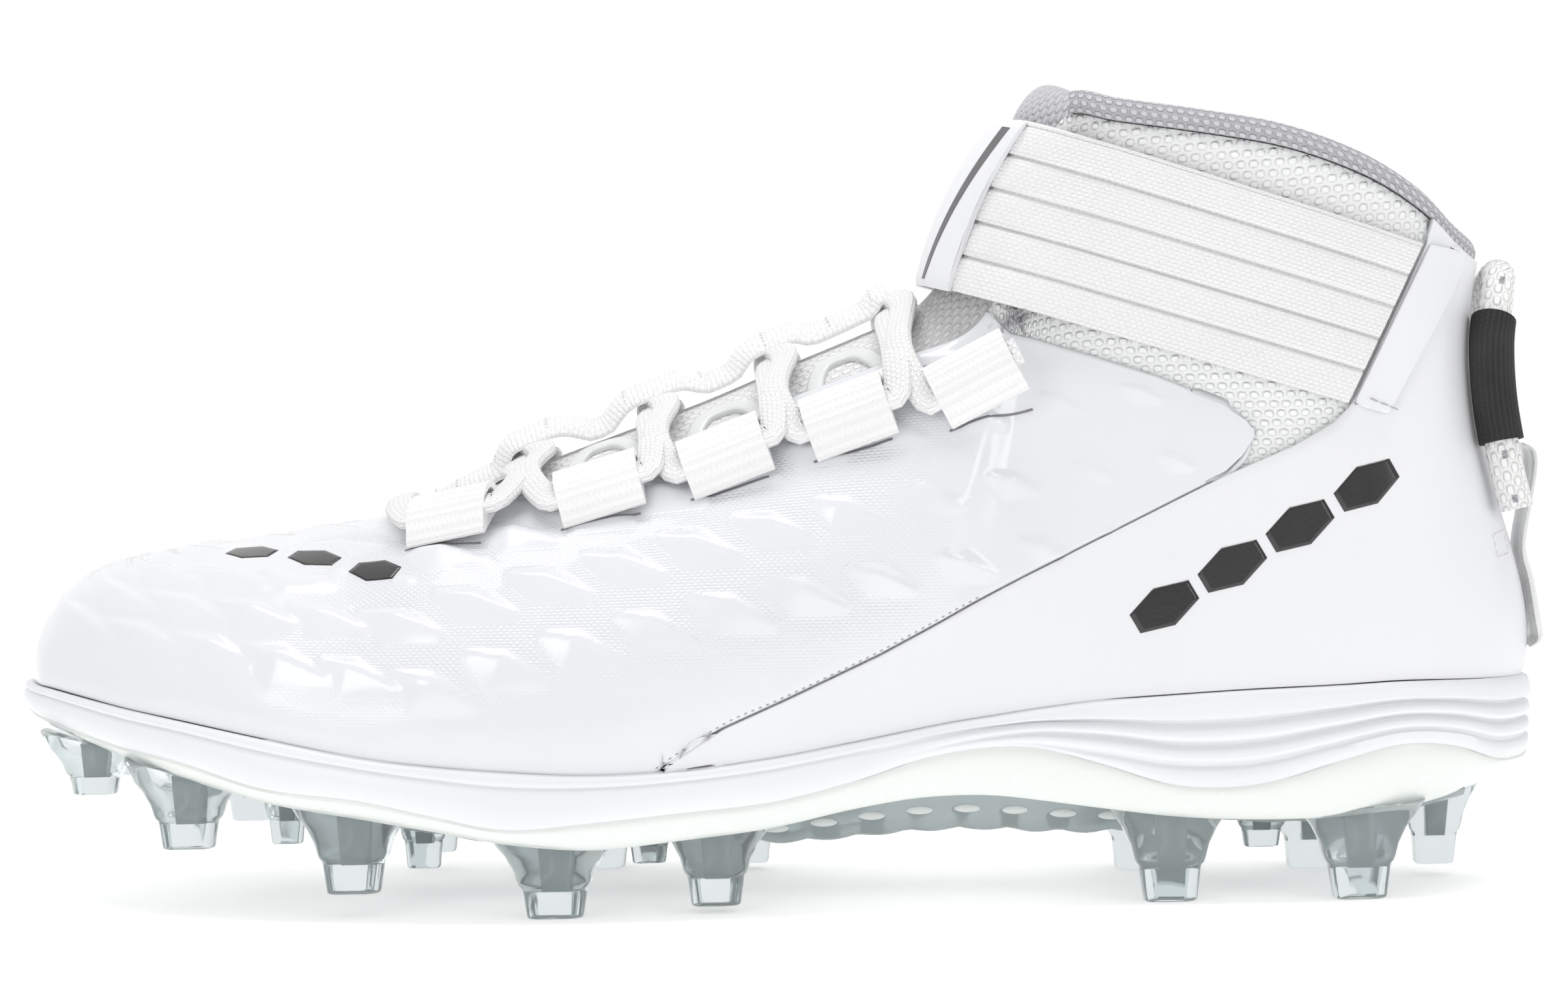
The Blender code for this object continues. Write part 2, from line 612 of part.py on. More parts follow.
def tree_of(grid, offset):
    # A surface that rays can meet, at an offset from the bootie.
    points, normals = grid
    count, levels = len(points), LEVELS + 1
    spots = [points[i][j] + normals[i][j] * offset for i in range(count) for j in range(levels)]
    faces = []
    for i in range(count):
        for j in range(LEVELS):
            a, b = i * levels + j, (i + 1) % count * levels + j
            faces.append([a, b, b + 1, a + 1])
    return BVHTree.FromPolygons(spots, faces)


def side_at(tree, x, z, side, nearest=False):
    # How far out the surface lies at x and z, on the side -1 lateral or 1 medial.
    # Past its edge there is nothing, or its nearest point where that is asked for.
    hit = tree.ray_cast(Vector((x, side * 2 * BALL_WIDTH, z)), Vector((0, -side, 0)))[0]
    if hit is None and nearest:
        hit = tree.find_nearest(Vector((x, side * HEEL_WIDTH / 2, z)))[0]
    return abs(hit.y) if hit is not None else None


def strap_line(tree, share_down, offset, side, steps=7, arc_steps=7):
    # One level of the band: along the ankle's side, then round its front to the middle.
    ends = zip(STRAP_TOP, STRAP_LOW)
    (x0, z0), (x1, z1) = ([a * (1 - share_down) + b * share_down for a, b in zip(*pair)] for pair in ends)
    x0, x1, z0, z1 = x0 * SHOE_LENGTH, x1 * SHOE_LENGTH, z0 * COLLAR_HEIGHT, z1 * COLLAR_HEIGHT
    sweep = (STRAP_SWEEP[0] * (1 - share_down) + STRAP_SWEEP[1] * share_down) * SHOE_LENGTH
    ahead = STRAP_FRONT[0] * (1 - share_down) + STRAP_FRONT[1] * share_down
    ahead += STRAP_BULGE * 4 * share_down * (1 - share_down)
    front = x1 - ahead * SHOE_LENGTH
    turn = x1 + sweep
    points = []
    for i in range(steps):
        x = x0 + (turn - x0) * i / (steps - 1)
        z = z0 + (z1 - z0) * (x - x0) / (x1 - x0)
        y = side_at(tree, x, z, side, nearest=True) + GAP + offset
        points.append(Vector((x, side * y, z)))
    reach_y = abs(points[-1].y)
    for i in range(1, arc_steps + 1):
        a = math.pi / 2 * i / arc_steps
        x = turn - (turn - front + offset) * math.sin(a) ** (2 / STRAP_BEND)
        y = reach_y * math.cos(a) ** (2 / STRAP_BEND) if i < arc_steps else 0.0
        z = z0 + (z1 - z0) * (turn - x0 - (turn - front) * math.sin(a)) / (x1 - x0)
        beside = side_at(tree, x, z, side)
        if beside is not None and i < arc_steps:
            y = max(y, beside + 3 * GAP + offset)
        points.append(Vector((x, side * y, z)))
    return points


def band(name, tree, inner, outer, finish, keep=None, levels=4):
    # A strap all round the ankle's front, between two offsets.
    # keep leaves only that many points either side of the front.
    loops = []
    for offset in (inner, outer):
        for level in range(levels):
            share = level / (levels - 1)
            lateral = strap_line(tree, share, offset, -1)
            medial = strap_line(tree, share, offset, 1)
            line = lateral + medial[-2::-1]
            if keep is not None:
                middle = len(lateral) - 1
                line = line[middle - keep: middle + keep + 1]
            loops.append(line)
    section = loops[:levels] + loops[levels:][::-1]
    rings = [[line[i] for line in section] for i in range(len(section[0]))]
    points, faces = [], []
    tube(rings, points, faces)
    return solid(name, points, faces, finish)


def tongue_line(t):
    # Middle of the tongue's outer face before it is fitted, with its directions along and outwards.
    centres = [Vector((row[0] * SHOE_LENGTH, 0, row[1] * COLLAR_HEIGHT)) for row in TONGUE_ROWS]
    here = along(centres, t)
    tangent = (along(centres, min(t + 0.01, 1)) - along(centres, max(t - 0.01, 0))).normalized()
    fall = along([row[4] for row in TONGUE_ROWS], t)
    here.y = ridge_y(here.x)
    return here, tangent, Vector((-tangent.z, 0, tangent.x * fall)).normalized()


def tongue_fit():
    # For each row: how far to lower it under the vamp, and the curl that takes its sides under the eyestay.
    inside = tree_of(GRID, -UPPER_WALL)
    clear = 2.5 * GAP
    drops, curls = [], []
    for r, row in enumerate(TONGUE_ROWS):
        here, _, out = tongue_line(r / (len(TONGUE_ROWS) - 1))
        drop, curl = 0.0, (ANKLE_CURL if row[1] > 0.78 else 1.2) / BALL_WIDTH
        rooms = []
        for step in range(-24, 25):
            y = step / 24 * (row[2] * BALL_WIDTH + 1.0)
            hit = inside.ray_cast(here + Vector((0, y, 0)) - out * 40, out, 80)[0]
            if hit is not None:
                rooms.append((y, (hit - here).dot(out) - clear))
        for y, room in rooms:
            if abs(y) < 8 and room < 0:
                drop = max(drop, -room)
        for y, room in rooms:
            if abs(y) >= 8:
                curl = max(curl, -(room + drop) / (y * y))
        drops.append(drop)
        curls.append(curl)
    return drops, curls


def tongue_axis(t):
    here, tangent, out = tongue_line(t)
    return here - out * along(TONGUE_FIT[0], t), tangent, out


def tongue_frame(t):
    # Middle line of the tongue's outer face, with its outward direction, half width, curl and thickness.
    here, _, out = tongue_axis(t)
    half = along([row[2] * BALL_WIDTH for row in TONGUE_ROWS], t)
    curl = along(TONGUE_FIT[1], t)
    thick = along([row[3] * TONGUE_THICK for row in TONGUE_ROWS], t)
    return here, out, half, curl, thick


def tongue_point(t, across, offset=0.0):
    # A point on the tongue's outer face, across from -1 lateral to 1 medial, lifted by offset.
    here, out, half, curl, _ = tongue_frame(t)
    y = across * half
    return here + Vector((0, y, 0)) + out * (offset - curl * y * y)


def tongue(finish):
    rows = len(TONGUE_ROWS)
    rings = []
    for r in range(rows):
        t = r / (rows - 1)
        thick = tongue_frame(t)[4]
        outer, inner = [], []
        for i in range(TONGUE_ACROSS + 1):
            across, edge = 2 * i / TONGUE_ACROSS - 1, i in (0, TONGUE_ACROSS)
            outer.append(tongue_point(t, across, -0.1 * TONGUE_THICK if edge else 0))
            inner.append(tongue_point(t, across * 0.96, -thick * (0.55 if edge else 1)))
        rings.append(outer + inner[::-1])
    points, faces = [], []
    tube(rings, points, faces)
    return solid("tongue", points, faces, finish)


def swept(name, path, outs, width, thick, finish, helper=False, sides=6, square=0.6):
    # A flat cord or ribbon along path; outs are the directions its flat face looks.
    points, faces, rings = [], [], []
    for i, here in enumerate(path):
        tangent = (path[min(i + 1, len(path) - 1)] - path[max(i - 1, 0)]).normalized()
        out = (outs[i] - tangent * outs[i].dot(tangent)).normalized()
        across = tangent.cross(out)
        ring = []
        for s in range(sides):
            a = 2 * math.pi * (s + 0.5) / sides
            c, d = math.cos(a), math.sin(a)
            flat, high = math.copysign(abs(c) ** square, c), math.copysign(abs(d) ** square, d)
            ring.append(here + across * width / 2 * flat + out * thick / 2 * high)
        rings.append(ring)
    tube(rings, points, faces)
    return solid(name, points, faces, finish, helper)


def station_at(x, side):
    # The station of the eyestay edge at a distance along the shoe.
    low, high = float(THROAT_ROW), float(COLLAR_ROW - 3)
    for _ in range(30):
        middle = (low + high) / 2
        if around(TOP_X, middle) < x:
            low = middle
        else:
            high = middle
    return low if side < 0 else STATIONS - low


def loop_frame(share, side):
    # Middle of a lace loop with its directions: along the eyestay, down the shoe's side, and outwards.
    k = station_at(share * SHOE_LENGTH, side)
    top, below = upper_point(k, 1.0), upper_point(k, 0.86)
    down = (below - top).normalized()
    forward = (top_point(k - 0.3) - top_point(k + 0.3)).normalized() * (1 if side < 0 else -1)
    out = down.cross(forward).normalized()
    if out.z < 0:
        out = -out
    rear = -forward
    down = (down - rear * down.dot(rear)).normalized()
    out = (out - rear * out.dot(rear) - down * out.dot(down)).normalized()
    middle = top + down * (LOOP_DROP + LOOP_HEIGHT / 2)
    thick = LACE_THICK + 1.2 + 2 * LOOP_WALL
    clear = []
    for step in (-0.5, 0, 0.5):
        for drop in (-0.45, 0, 0.45):
            start = middle + rear * LOOP_LENGTH * step + down * LOOP_HEIGHT * drop + out * 20
            hit = SKIN_TREE.ray_cast(start, -out)[0]
            if hit is not None:
                clear.append(20 - (start - hit).length)
    return middle + out * (max(clear) + GAP * 1.3 + thick / 2), rear, down, out


def lace_loop(name, share, side, finish):
    # Webbing folded into a flat tube that the lace runs through.
    middle, rear, down, out = loop_frame(share, side)
    sides = 8
    hole_tall, hole_deep = LACE_WIDTH + 1.4, LACE_THICK + 1.2

    def section(tall, deep, place):
        ring = []
        for s in range(sides):
            a = 2 * math.pi * (s + 0.5) / sides
            c, d = math.cos(a), math.sin(a)
            c, d = math.copysign(abs(c) ** 0.55, c), math.copysign(abs(d) ** 0.55, d)
            ring.append(place + down * tall / 2 * c + out * deep / 2 * d)
        return ring

    ends = (middle - rear * LOOP_LENGTH / 2, middle + rear * LOOP_LENGTH / 2)
    outer = [section(LOOP_HEIGHT, hole_deep + 2 * LOOP_WALL, p) for p in ends]
    inner = [section(hole_tall, hole_deep, p) for p in ends]
    rings = [outer[0], outer[1], inner[1], inner[0]]
    points = [p for ring in rings for p in ring]
    faces = []
    for r in range(4):
        for i in range(sides):
            a, b = r * sides + i, r * sides + (i + 1) % sides
            c, d = (r + 1) % 4 * sides + (i + 1) % sides, (r + 1) % 4 * sides + i
            faces.append([a, b, c, d])
    return solid(name, points, faces, finish)


def tongue_share(x):
    # Where on the tongue's length it passes a distance along the shoe.
    low, high = 0.0, 1.0
    for _ in range(30):
        middle = (low + high) / 2
        if tongue_frame(middle)[0].x < x:
            low = middle
        else:
            high = middle
    return low


def over_edge(x, side, rise):
    # A point above the eyestay edge, at a distance along the shoe.
    k = station_at(x, side)
    edge = upper_point(k, 1.0)
    down = upper_point(k, 0.9) - edge
    away = down.cross(top_point(k + 0.2) - top_point(k - 0.2))
    away = away.normalized() * (1 if away.z > 0 else -1)
    return edge + away * (GAP + SKIN_WALL + GAP + LACE_THICK / 2 + rise)


def strand(from_share, from_side, to_share, name, finish, lift, helper=True):
    # One strand, out of a loop's rear mouth, over the tongue and into the next loop's front mouth.
    start, rear, down_a, out_a = loop_frame(from_share, from_side)
    end, rear_b, down_b, out_b = loop_frame(to_share, -from_side)
    mouth = LOOP_LENGTH / 2
    ahead = LOOP_HEIGHT / 4 * (down_a.x + down_b.x)
    x0, x1 = (start + rear * mouth).x - ahead, (end - rear_b * mouth).x - ahead
    middle_x = (x0 + x1) / 2
    up = tongue_frame(tongue_share(middle_x))[1]
    height = 2 * GAP + LACE_THICK / 2 + lift

    def over_tongue(share, more):
        x = middle_x + share * (x1 - x0) * 0.5
        return tongue_point(tongue_share(x), share * (1 if from_side < 0 else -1), height + more)

    knots = [start + rear * (mouth + step) for step in (-4.0, -0.6, 2.9)]
    knots += [
        over_edge(x0 + (x1 - x0) * 0.47, from_side, 0.9 + lift * 0.2),
        over_tongue(-0.36, 0.5 - lift * 0.4), over_tongue(0.0, 0.3), over_tongue(0.36, 0.5 - lift * 0.4),
        over_edge(x0 + (x1 - x0) * 0.53, -from_side, 0.9 + lift * 0.2),
    ]
    knots += [end - rear_b * (mouth + step) for step in (2.9, -0.6, -4.0)]
    count = 10
    path = [along(knots, i / count) for i in range(count + 1)]
    outs = []
    for i in range(count + 1):
        s = i / count
        turn = min(max((min(s, 1 - s) - 0.20) / 0.16, 0.0), 1.0)
        outs.append((out_a if s < 0.5 else out_b) * (1 - turn) + up * turn)
    return swept(name, path, outs, LACE_WIDTH, LACE_THICK, finish, helper)


def laces(finish):
    # The bar at the front, four crossings under the ribbon, and the ends that stop behind the last loops.
    for i in range(len(LOOPS_ALONG) - 1):
        name = "lace_cross_%d" % (i + 1)
        cross = strand(LOOPS_ALONG[i], -1, LOOPS_ALONG[i + 1], name, finish, 0.0, helper=False)
        over = strand(LOOPS_ALONG[i], 1, LOOPS_ALONG[i + 1], name + "_over", finish, LACE_OVER)
        boolean(cross, over, "UNION")
    first = [loop_frame(LOOPS_ALONG[0], side) for side in (-1, 1)]
    mouth = LOOP_LENGTH / 2
    x = (first[0][0] - first[0][1] * mouth).x - 4.6
    z = top_point(station_at(x, -1)).z + GAP + SKIN_WALL + GAP + LACE_THICK / 2 + 0.6
    middle_y = ridge_y(x)

    def on_skin(at_x, y, rise):
        above = Vector((at_x, y, 2 * COLLAR_HEIGHT))
        hit = SKIN_TREE.ray_cast(above, Vector((0, 0, -1)))[0] or SKIN_TREE.find_nearest(above)[0]
        return Vector((at_x, y, hit.z + GAP + LACE_THICK / 2 + rise))

    knots = [first[0][0] - first[0][1] * (mouth + step) for step in (-4.0, -1.0, 1.6)]
    knots += [on_skin(x + 0.5, middle_y - 15, 1.2)]
    knots += [Vector((x, middle_y - 6, z)), Vector((x, middle_y + 6, z))]
    knots += [on_skin(x + 0.5, middle_y + 15, 1.2)]
    knots += [first[1][0] - first[1][1] * (mouth + step) for step in (1.6, -1.0, -4.0)]
    count = 16
    path = [along(knots, i / count) for i in range(count + 1)]
    outs = []
    for i in range(count + 1):
        s = i / count
        turn = min(max((min(s, 1 - s) - 0.20) / 0.16, 0.0), 1.0)
        outs.append((first[0][3] if s < 0.5 else first[1][3]) * (1 - turn) + Vector((-0.3, 0, 1)) * turn)
    swept("lace_bar", path, outs, LACE_WIDTH, LACE_THICK, finish)
    for name, side in (("lace_end_lateral", -1), ("lace_end_medial", 1)):
        middle, rear, _, out = loop_frame(LOOPS_ALONG[-1], side)
        path = [middle + rear * (mouth * share) for share in (-0.2, 0.4, 1.0, 1.35)]
        swept(name, path, [out] * 4, LACE_WIDTH, LACE_THICK, finish)


def tongue_ribbon(finish):
    # Runs over every crossing and is caught down between them.
    start, end = tongue_share(LOOPS_ALONG[0] * SHOE_LENGTH - 7), tongue_share(0.586 * SHOE_LENGTH)
    crossings = [tongue_share((a + b) / 2 * SHOE_LENGTH) for a, b in zip(LOOPS_ALONG, LOOPS_ALONG[1:])]
    path, outs = [], []
    count = 22
    for i in range(count + 1):
        t = start + (end - start) * i / count
        bump = max([math.exp(-(((t - c) / 0.042) ** 4)) for c in crossings] + [0.15 + 0.55 * i / count])
        rise = GAP + RIBBON_THICK / 2 + 0.4 + bump * (LACE_THICK + LACE_OVER + 0.7)
        path.append(tongue_point(t, 0.0, rise))
        outs.append(tongue_frame(t)[1])
    return swept("tongue_ribbon", path, outs, RIBBON_WIDTH, RIBBON_THICK, finish, sides=6)


def collar_lining(grid, finish):
    # Padded lining inside the ankle, with a roll that stands above the collar edge.
    points, normals = grid
    start = COLLAR_ROW + 1
    count = len(points)
    rings = []
    for i in range(start, count - start + 1):
        line, face = points[i], normals[i]
        top, out = line[LEVELS], face[LEVELS]
        flat = Vector((out.x, out.y, 0)).normalized()
        clear = UPPER_WALL + GAP
        below = (LEVELS - 3, LEVELS - 2, LEVELS - 1)
        outer = [line[j] - face[j] * clear for j in below]
        inner = [line[j] - face[j] * (clear + LINING_THICK) for j in below]
        rise = Vector((0, 0, 1))
        roll = [
            top - flat * clear + rise * GAP, top + flat * 0.5 + rise * (GAP + 0.5),
            top + flat * 0.4 + rise * (LINING_ROLL * 0.75),
            top - flat * 1.6 + rise * LINING_ROLL,
            top - flat * (clear + LINING_THICK * 0.8) + rise * (LINING_ROLL * 0.8),
            top - flat * (clear + LINING_THICK) + rise * GAP,
        ]
        rings.append(outer + roll + inner[::-1])
    made, faces = [], []
    tube(rings, made, faces)
    return solid("collar_lining", made, faces, finish)


def rope_path(side):
    # Half of the pull loop: from its foot on one side of the heel up to the middle of the collar's back.
    tree = tree_of(GRID, GAP + QUARTER_WALL)
    stand = ROPE_DIAMETER / 2 + SLEEVE_WALL + 2 * GAP
    path = []
    for across, height in ROPE_LEG:
        y = side * across * BALL_WIDTH
        start = Vector((SHOE_LENGTH + 60, y, height * COLLAR_HEIGHT))
        hit, face, _, _ = tree.ray_cast(start, Vector((-1, 0, 0)))
        if face.x < 0:
            face = -face
        path.append(hit + face * stand)
    return path


def round_ring(here, tangent, radius, sides=8):
    # A circle across a direction.
    across = tangent.cross(Vector((0, 1, 0.2))).normalized()
    rise = across.cross(tangent).normalized()
    turns = [2 * math.pi * s / sides for s in range(sides)]
    return [here + (across * math.cos(a) + rise * math.sin(a)) * radius for a in turns]


def cord_rings(knots, start, end, count, radius):
    rings = []
    for i in range(count + 1):
        t = start + (end - start) * i / count
        tangent = (along(knots, min(t + 0.005, 1)) - along(knots, max(t - 0.005, 0))).normalized()
        rings.append(round_ring(along(knots, t), tangent, radius))
    return rings


def pull_loop(rope_finish, sleeve_finish):
    # A rope looped over the back of the heel, with a woven sleeve on each leg.
    legs = {side: rope_path(side) for side in (-1, 1)}
    whole = legs[-1] + legs[1][-2::-1]
    points, faces = [], []
    tube(cord_rings(whole, 0.0, 1.0, 20, ROPE_DIAMETER / 2), points, faces)
    solid("pull_rope", points, faces, rope_finish)
    hole = ROPE_DIAMETER / 2 + GAP
    span = 0.5 * SLEEVE_SPAN[0], 0.5 * SLEEVE_SPAN[1]
    for name, (start, end) in (("lateral", span), ("medial", (1 - span[0], 1 - span[1]))):
        outer = cord_rings(whole, start, end, 5, hole + SLEEVE_WALL)
        inner = cord_rings(whole, start, end, 5, hole)
        rings = outer + inner[::-1]
        points = [p for ring in rings for p in ring]
        sides, faces = len(rings[0]), []
        for r in range(len(rings)):
            after = (r + 1) % len(rings)
            for i in range(sides):
                j = (i + 1) % sides
                faces.append([r * sides + i, r * sides + j, after * sides + j, after * sides + i])
        solid("pull_sleeve_" + name, points, faces, sleeve_finish)


def heel_tab(finish):
    # A thin moulded strip down the back of the heel that stands off at both ends.
    across = 6
    tree = tree_of(GRID, GAP + QUARTER_WALL)
    rings = []
    for height, reach in TAB_ROWS:
        z = height * COLLAR_HEIGHT
        narrow = 1.0 if height > 0.33 else 0.86
        ring_out, ring_in = [], []
        middle = tree.ray_cast(Vector((SHOE_LENGTH + 60, 0, z)), Vector((-1, 0, 0)))[0].x
        stand = max(reach * SHOE_LENGTH - TAB_THICK - middle, GAP * 1.4)
        for i in range(across + 1):
            y = (2 * i / across - 1) * TAB_WIDTH / 2 * narrow
            hit = tree.ray_cast(Vector((SHOE_LENGTH + 60, y, z)), Vector((-1, 0, 0)))[0]
            ring_in.append(Vector((hit.x + stand, y, z)))
            ring_out.append(Vector((hit.x + stand + TAB_THICK, y, z)))
        rings.append(ring_out + ring_in[::-1])
    points, faces = [], []
    tube(rings, points, faces)
    return solid("heel_tab", points, faces, finish)


def centre_on_footprint(objects):
    # Puts the origin at the middle of the shoe's box, on the ground.
    bpy.context.view_layer.update()
    graph = bpy.context.evaluated_depsgraph_get()
    corners = []
    for thing in objects:
        if not thing.hide_render:
            corners += [vertex.co.copy() for vertex in thing.evaluated_get(graph).data.vertices]
    low = Vector([min(corner[axis] for corner in corners) for axis in range(3)])
    high = Vector([max(corner[axis] for corner in corners) for axis in range(3)])
    move = Matrix.Translation(Vector((-(low.x + high.x) / 2, -(low.y + high.y) / 2, -low.z)))
    for thing in objects:
        thing.data.transform(move)


def main():
    for thing in list(bpy.data.objects):
        bpy.data.objects.remove(thing, do_unlink=True)
    white_skin = material("glossy_skin", (0.86, 0.87, 0.89), 0.22)
    white_quarter = material("matt_synthetic", (0.84, 0.85, 0.87), 0.45)
    white_mesh = material("ankle_mesh", (0.85, 0.86, 0.86), 0.8)
    white_foam = material("midsole_foam", (0.86, 0.87, 0.89), 0.5)
    clear_plate = material("clear_plate", (0.80, 0.84, 0.83), 0.12, alpha=0.75)
    white_webbing = material("webbing", (0.88, 0.88, 0.88), 0.7)
    white_elastic = material("elastic", (0.84, 0.85, 0.85), 0.75)
    grey_lining = material("lining", (0.42, 0.42, 0.45), 0.85)
    black_sleeve = material("sleeve", (0.035, 0.03, 0.03), 0.7)
    shell("upper", GRID, -UPPER_WALL, 0.0, white_mesh)
    outsole_plate(clear_plate)
    midsole(white_foam)
    insole(grey_lining)
    overlays(GRID, white_skin, white_quarter, white_quarter)
    tongue(white_mesh)
    for number, share in enumerate(LOOPS_ALONG, 1):
        lace_loop("lace_loop_lateral_%d" % number, share, -1, white_webbing)
        lace_loop("lace_loop_medial_%d" % number, share, 1, white_webbing)
    laces(white_webbing)
    tongue_ribbon(white_webbing)
    ankle = tree_of(GRID, GAP)
    band("strap", ankle, GAP, GAP + STRAP_THICK, white_elastic)
    under = 2 * GAP + STRAP_THICK
    band("strap_front", ankle, under, under + STRAP_FRONT_THICK, white_quarter, keep=5)
    collar_lining(GRID, grey_lining)
    pull_loop(white_webbing, black_sleeve)
    heel_tab(white_quarter)
    centre_on_footprint(list(bpy.data.objects))


GRID = surface_grid()
SKIN_TREE = tree_of(GRID, GAP + SKIN_WALL)
TONGUE_FIT = tongue_fit()
main()
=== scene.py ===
import math
import random

import bmesh
import bpy
from mathutils import Matrix, Vector
from mathutils.bvhtree import BVHTree


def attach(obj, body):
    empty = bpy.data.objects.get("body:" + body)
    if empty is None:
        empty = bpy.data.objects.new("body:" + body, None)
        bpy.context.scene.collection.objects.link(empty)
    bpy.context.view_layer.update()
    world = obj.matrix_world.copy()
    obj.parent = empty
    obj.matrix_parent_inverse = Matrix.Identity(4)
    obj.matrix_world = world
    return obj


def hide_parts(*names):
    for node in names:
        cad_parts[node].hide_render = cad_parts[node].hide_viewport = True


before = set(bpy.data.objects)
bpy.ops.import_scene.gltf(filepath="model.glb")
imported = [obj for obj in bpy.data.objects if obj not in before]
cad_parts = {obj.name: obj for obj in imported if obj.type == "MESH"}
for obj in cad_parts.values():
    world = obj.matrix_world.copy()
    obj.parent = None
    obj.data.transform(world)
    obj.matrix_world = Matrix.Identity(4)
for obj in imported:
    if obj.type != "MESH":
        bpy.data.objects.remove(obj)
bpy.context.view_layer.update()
mm = 0.001
print("frame loaded")

# The shoe's form. Lengths in millimetres: x from the toe, -y the outer side, z up from the ground.
shoe = {
    "length": 297.0,
    "ballWidth": 104.0,
    "heelWidth": 72.0,
    "heelStack": 42.0,
    "collarHeight": 152.5,
    "inset": 2.8,  # sole edge to bootie
    "wall": 1.8,
    "gap": 0.3,
    "skinWall": 0.9,
    "quarterWall": 1.1,
    "shift": (-149.60, 1.82, 0.0),  # from the toe to the middle of the CAD's box
    "throatRow": 7,
    "collarRow": 18,
    "heelRow": 27,
    "ridgeShift": 0.0608,
    "ridgeEnd": 0.34,
}

# Sole stations, toe to heel: place along, outer and inner width, share of the heel's width,
# heights of the feather edge, of the plate's lip and of the underside, and the side's tuck
soleRows = (
    (0.000, -0.048, 0.048, 0.00, 1.012, 0.905, 0.800, 0.080),
    (0.010, 0.096, 0.188, 0.00, 1.010, 0.890, 0.795, 0.078),
    (0.025, 0.168, 0.260, 0.00, 1.002, 0.862, 0.775, 0.072),
    (0.050, 0.245, 0.332, 0.00, 0.975, 0.817, 0.735, 0.062),
    (0.081, 0.317, 0.380, 0.00, 0.936, 0.763, 0.676, 0.050),
    (0.121, 0.380, 0.418, 0.00, 0.890, 0.707, 0.607, 0.042),
    (0.175, 0.442, 0.452, 0.00, 0.820, 0.600, 0.519, 0.036),
    (0.236, 0.486, 0.476, 0.00, 0.740, 0.552, 0.457, 0.032),
    (0.283, 0.508, 0.484, 0.00, 0.702, 0.486, 0.405, 0.030),
    (0.330, 0.519, 0.483, 0.00, 0.676, 0.424, 0.348, 0.030),
    (0.384, 0.519, 0.462, 0.00, 0.658, 0.450, 0.319, 0.030),
    (0.441, 0.500, 0.428, 0.00, 0.672, 0.486, 0.352, 0.030),
    (0.498, 0.466, 0.385, 0.00, 0.714, 0.522, 0.393, 0.030),
    (0.549, 0.459, 0.374, 0.20, 0.771, 0.600, 0.462, 0.030),
    (0.586, 0.458, 0.375, 0.35, 0.817, 0.680, 0.502, 0.030),
    (0.613, 0.468, 0.386, 0.50, 0.850, 0.719, 0.514, 0.030),
    (0.640, 0.481, 0.403, 0.65, 0.876, 0.738, 0.510, 0.030),
    (0.670, 0.497, 0.425, 0.80, 0.905, 0.726, 0.483, 0.030),
    (0.710, 0.525, 0.465, 1.00, 0.936, 0.648, 0.440, 0.032),
    (0.758, 0.514, 0.475, 1.00, 0.957, 0.548, 0.395, 0.034),
    (0.808, 0.507, 0.481, 1.00, 0.976, 0.548, 0.376, 0.036),
    (0.859, 0.492, 0.475, 1.00, 0.988, 0.643, 0.379, 0.040),
    (0.902, 0.456, 0.447, 1.00, 1.000, 0.714, 0.400, 0.050),
    (0.939, 0.389, 0.386, 1.00, 0.995, 0.695, 0.430, 0.062),
    (0.970, 0.285, 0.285, 1.00, 0.988, 0.620, 0.460, 0.075),
    (0.990, 0.160, 0.160, 1.00, 0.981, 0.612, 0.480, 0.084),
    (0.998, 0.076, 0.076, 1.00, 0.979, 0.625, 0.488, 0.088),
    (1.000, 0.000, 0.000, 1.00, 0.979, 0.630, 0.490, 0.090),
)

# Bootie stations: place of its top edge along, height, spread, lean in degrees, rise, belly, fall
upperRows = (
    (0.0808, 0.430, 0.000, 2, 0.55, 0.008, 0.33),
    (0.0859, 0.432, 0.000, 2, 0.55, 0.008, 0.33),
    (0.0926, 0.435, 0.000, 2, 0.55, 0.010, 0.34),
    (0.1044, 0.439, 0.000, 2, 0.56, 0.012, 0.36),
    (0.1212, 0.443, 0.000, 2, 0.57, 0.015, 0.38),
    (0.1448, 0.449, 0.000, 2, 0.58, 0.018, 0.40),
    (0.1852, 0.460, 0.000, 3, 0.58, 0.020, 0.42),
    (0.2357, 0.476, 0.000, 6, 0.56, 0.020, 0.42),
    (0.2828, 0.496, 0.115, 16, 0.53, 0.020, 0.42),
    (0.3300, 0.516, 0.159, 24, 0.50, 0.020, 0.42),
    (0.3872, 0.548, 0.183, 31, 0.47, 0.020, 0.42),
    (0.4512, 0.587, 0.197, 37, 0.44, 0.018, 0.42),
    (0.5152, 0.636, 0.212, 43, 0.42, 0.015, 0.42),
    (0.5758, 0.679, 0.231, 50, 0.40, 0.012, 0.42),
    (0.6263, 0.715, 0.250, 60, 0.38, 0.010, 0.40),
    (0.6481, 0.774, 0.250, 74, 0.36, 0.008, 0.38),
    (0.6630, 0.859, 0.240, 84, 0.34, 0.006, 0.36),
    (0.6770, 0.944, 0.234, 90, 0.33, 0.006, 0.36),
    (0.6930, 0.987, 0.244, 92, 0.32, 0.006, 0.36),
    (0.7239, 0.977, 0.274, 93, 0.31, 0.006, 0.36),
    (0.7778, 0.961, 0.298, 94, 0.30, 0.008, 0.37),
    (0.8316, 0.941, 0.303, 94, 0.30, 0.010, 0.38),
    (0.8822, 0.905, 0.279, 94, 0.31, 0.015, 0.39),
    (0.9192, 0.862, 0.231, 94, 0.33, 0.025, 0.40),
    (0.9421, 0.823, 0.159, 96, 0.31, 0.045, 0.44),
    (0.9573, 0.803, 0.087, 100, 0.28, 0.058, 0.46),
    (0.9610, 0.798, 0.038, 103, 0.27, 0.062, 0.47),
    (0.9620, 0.797, 0.000, 103, 0.27, 0.063, 0.47),
)

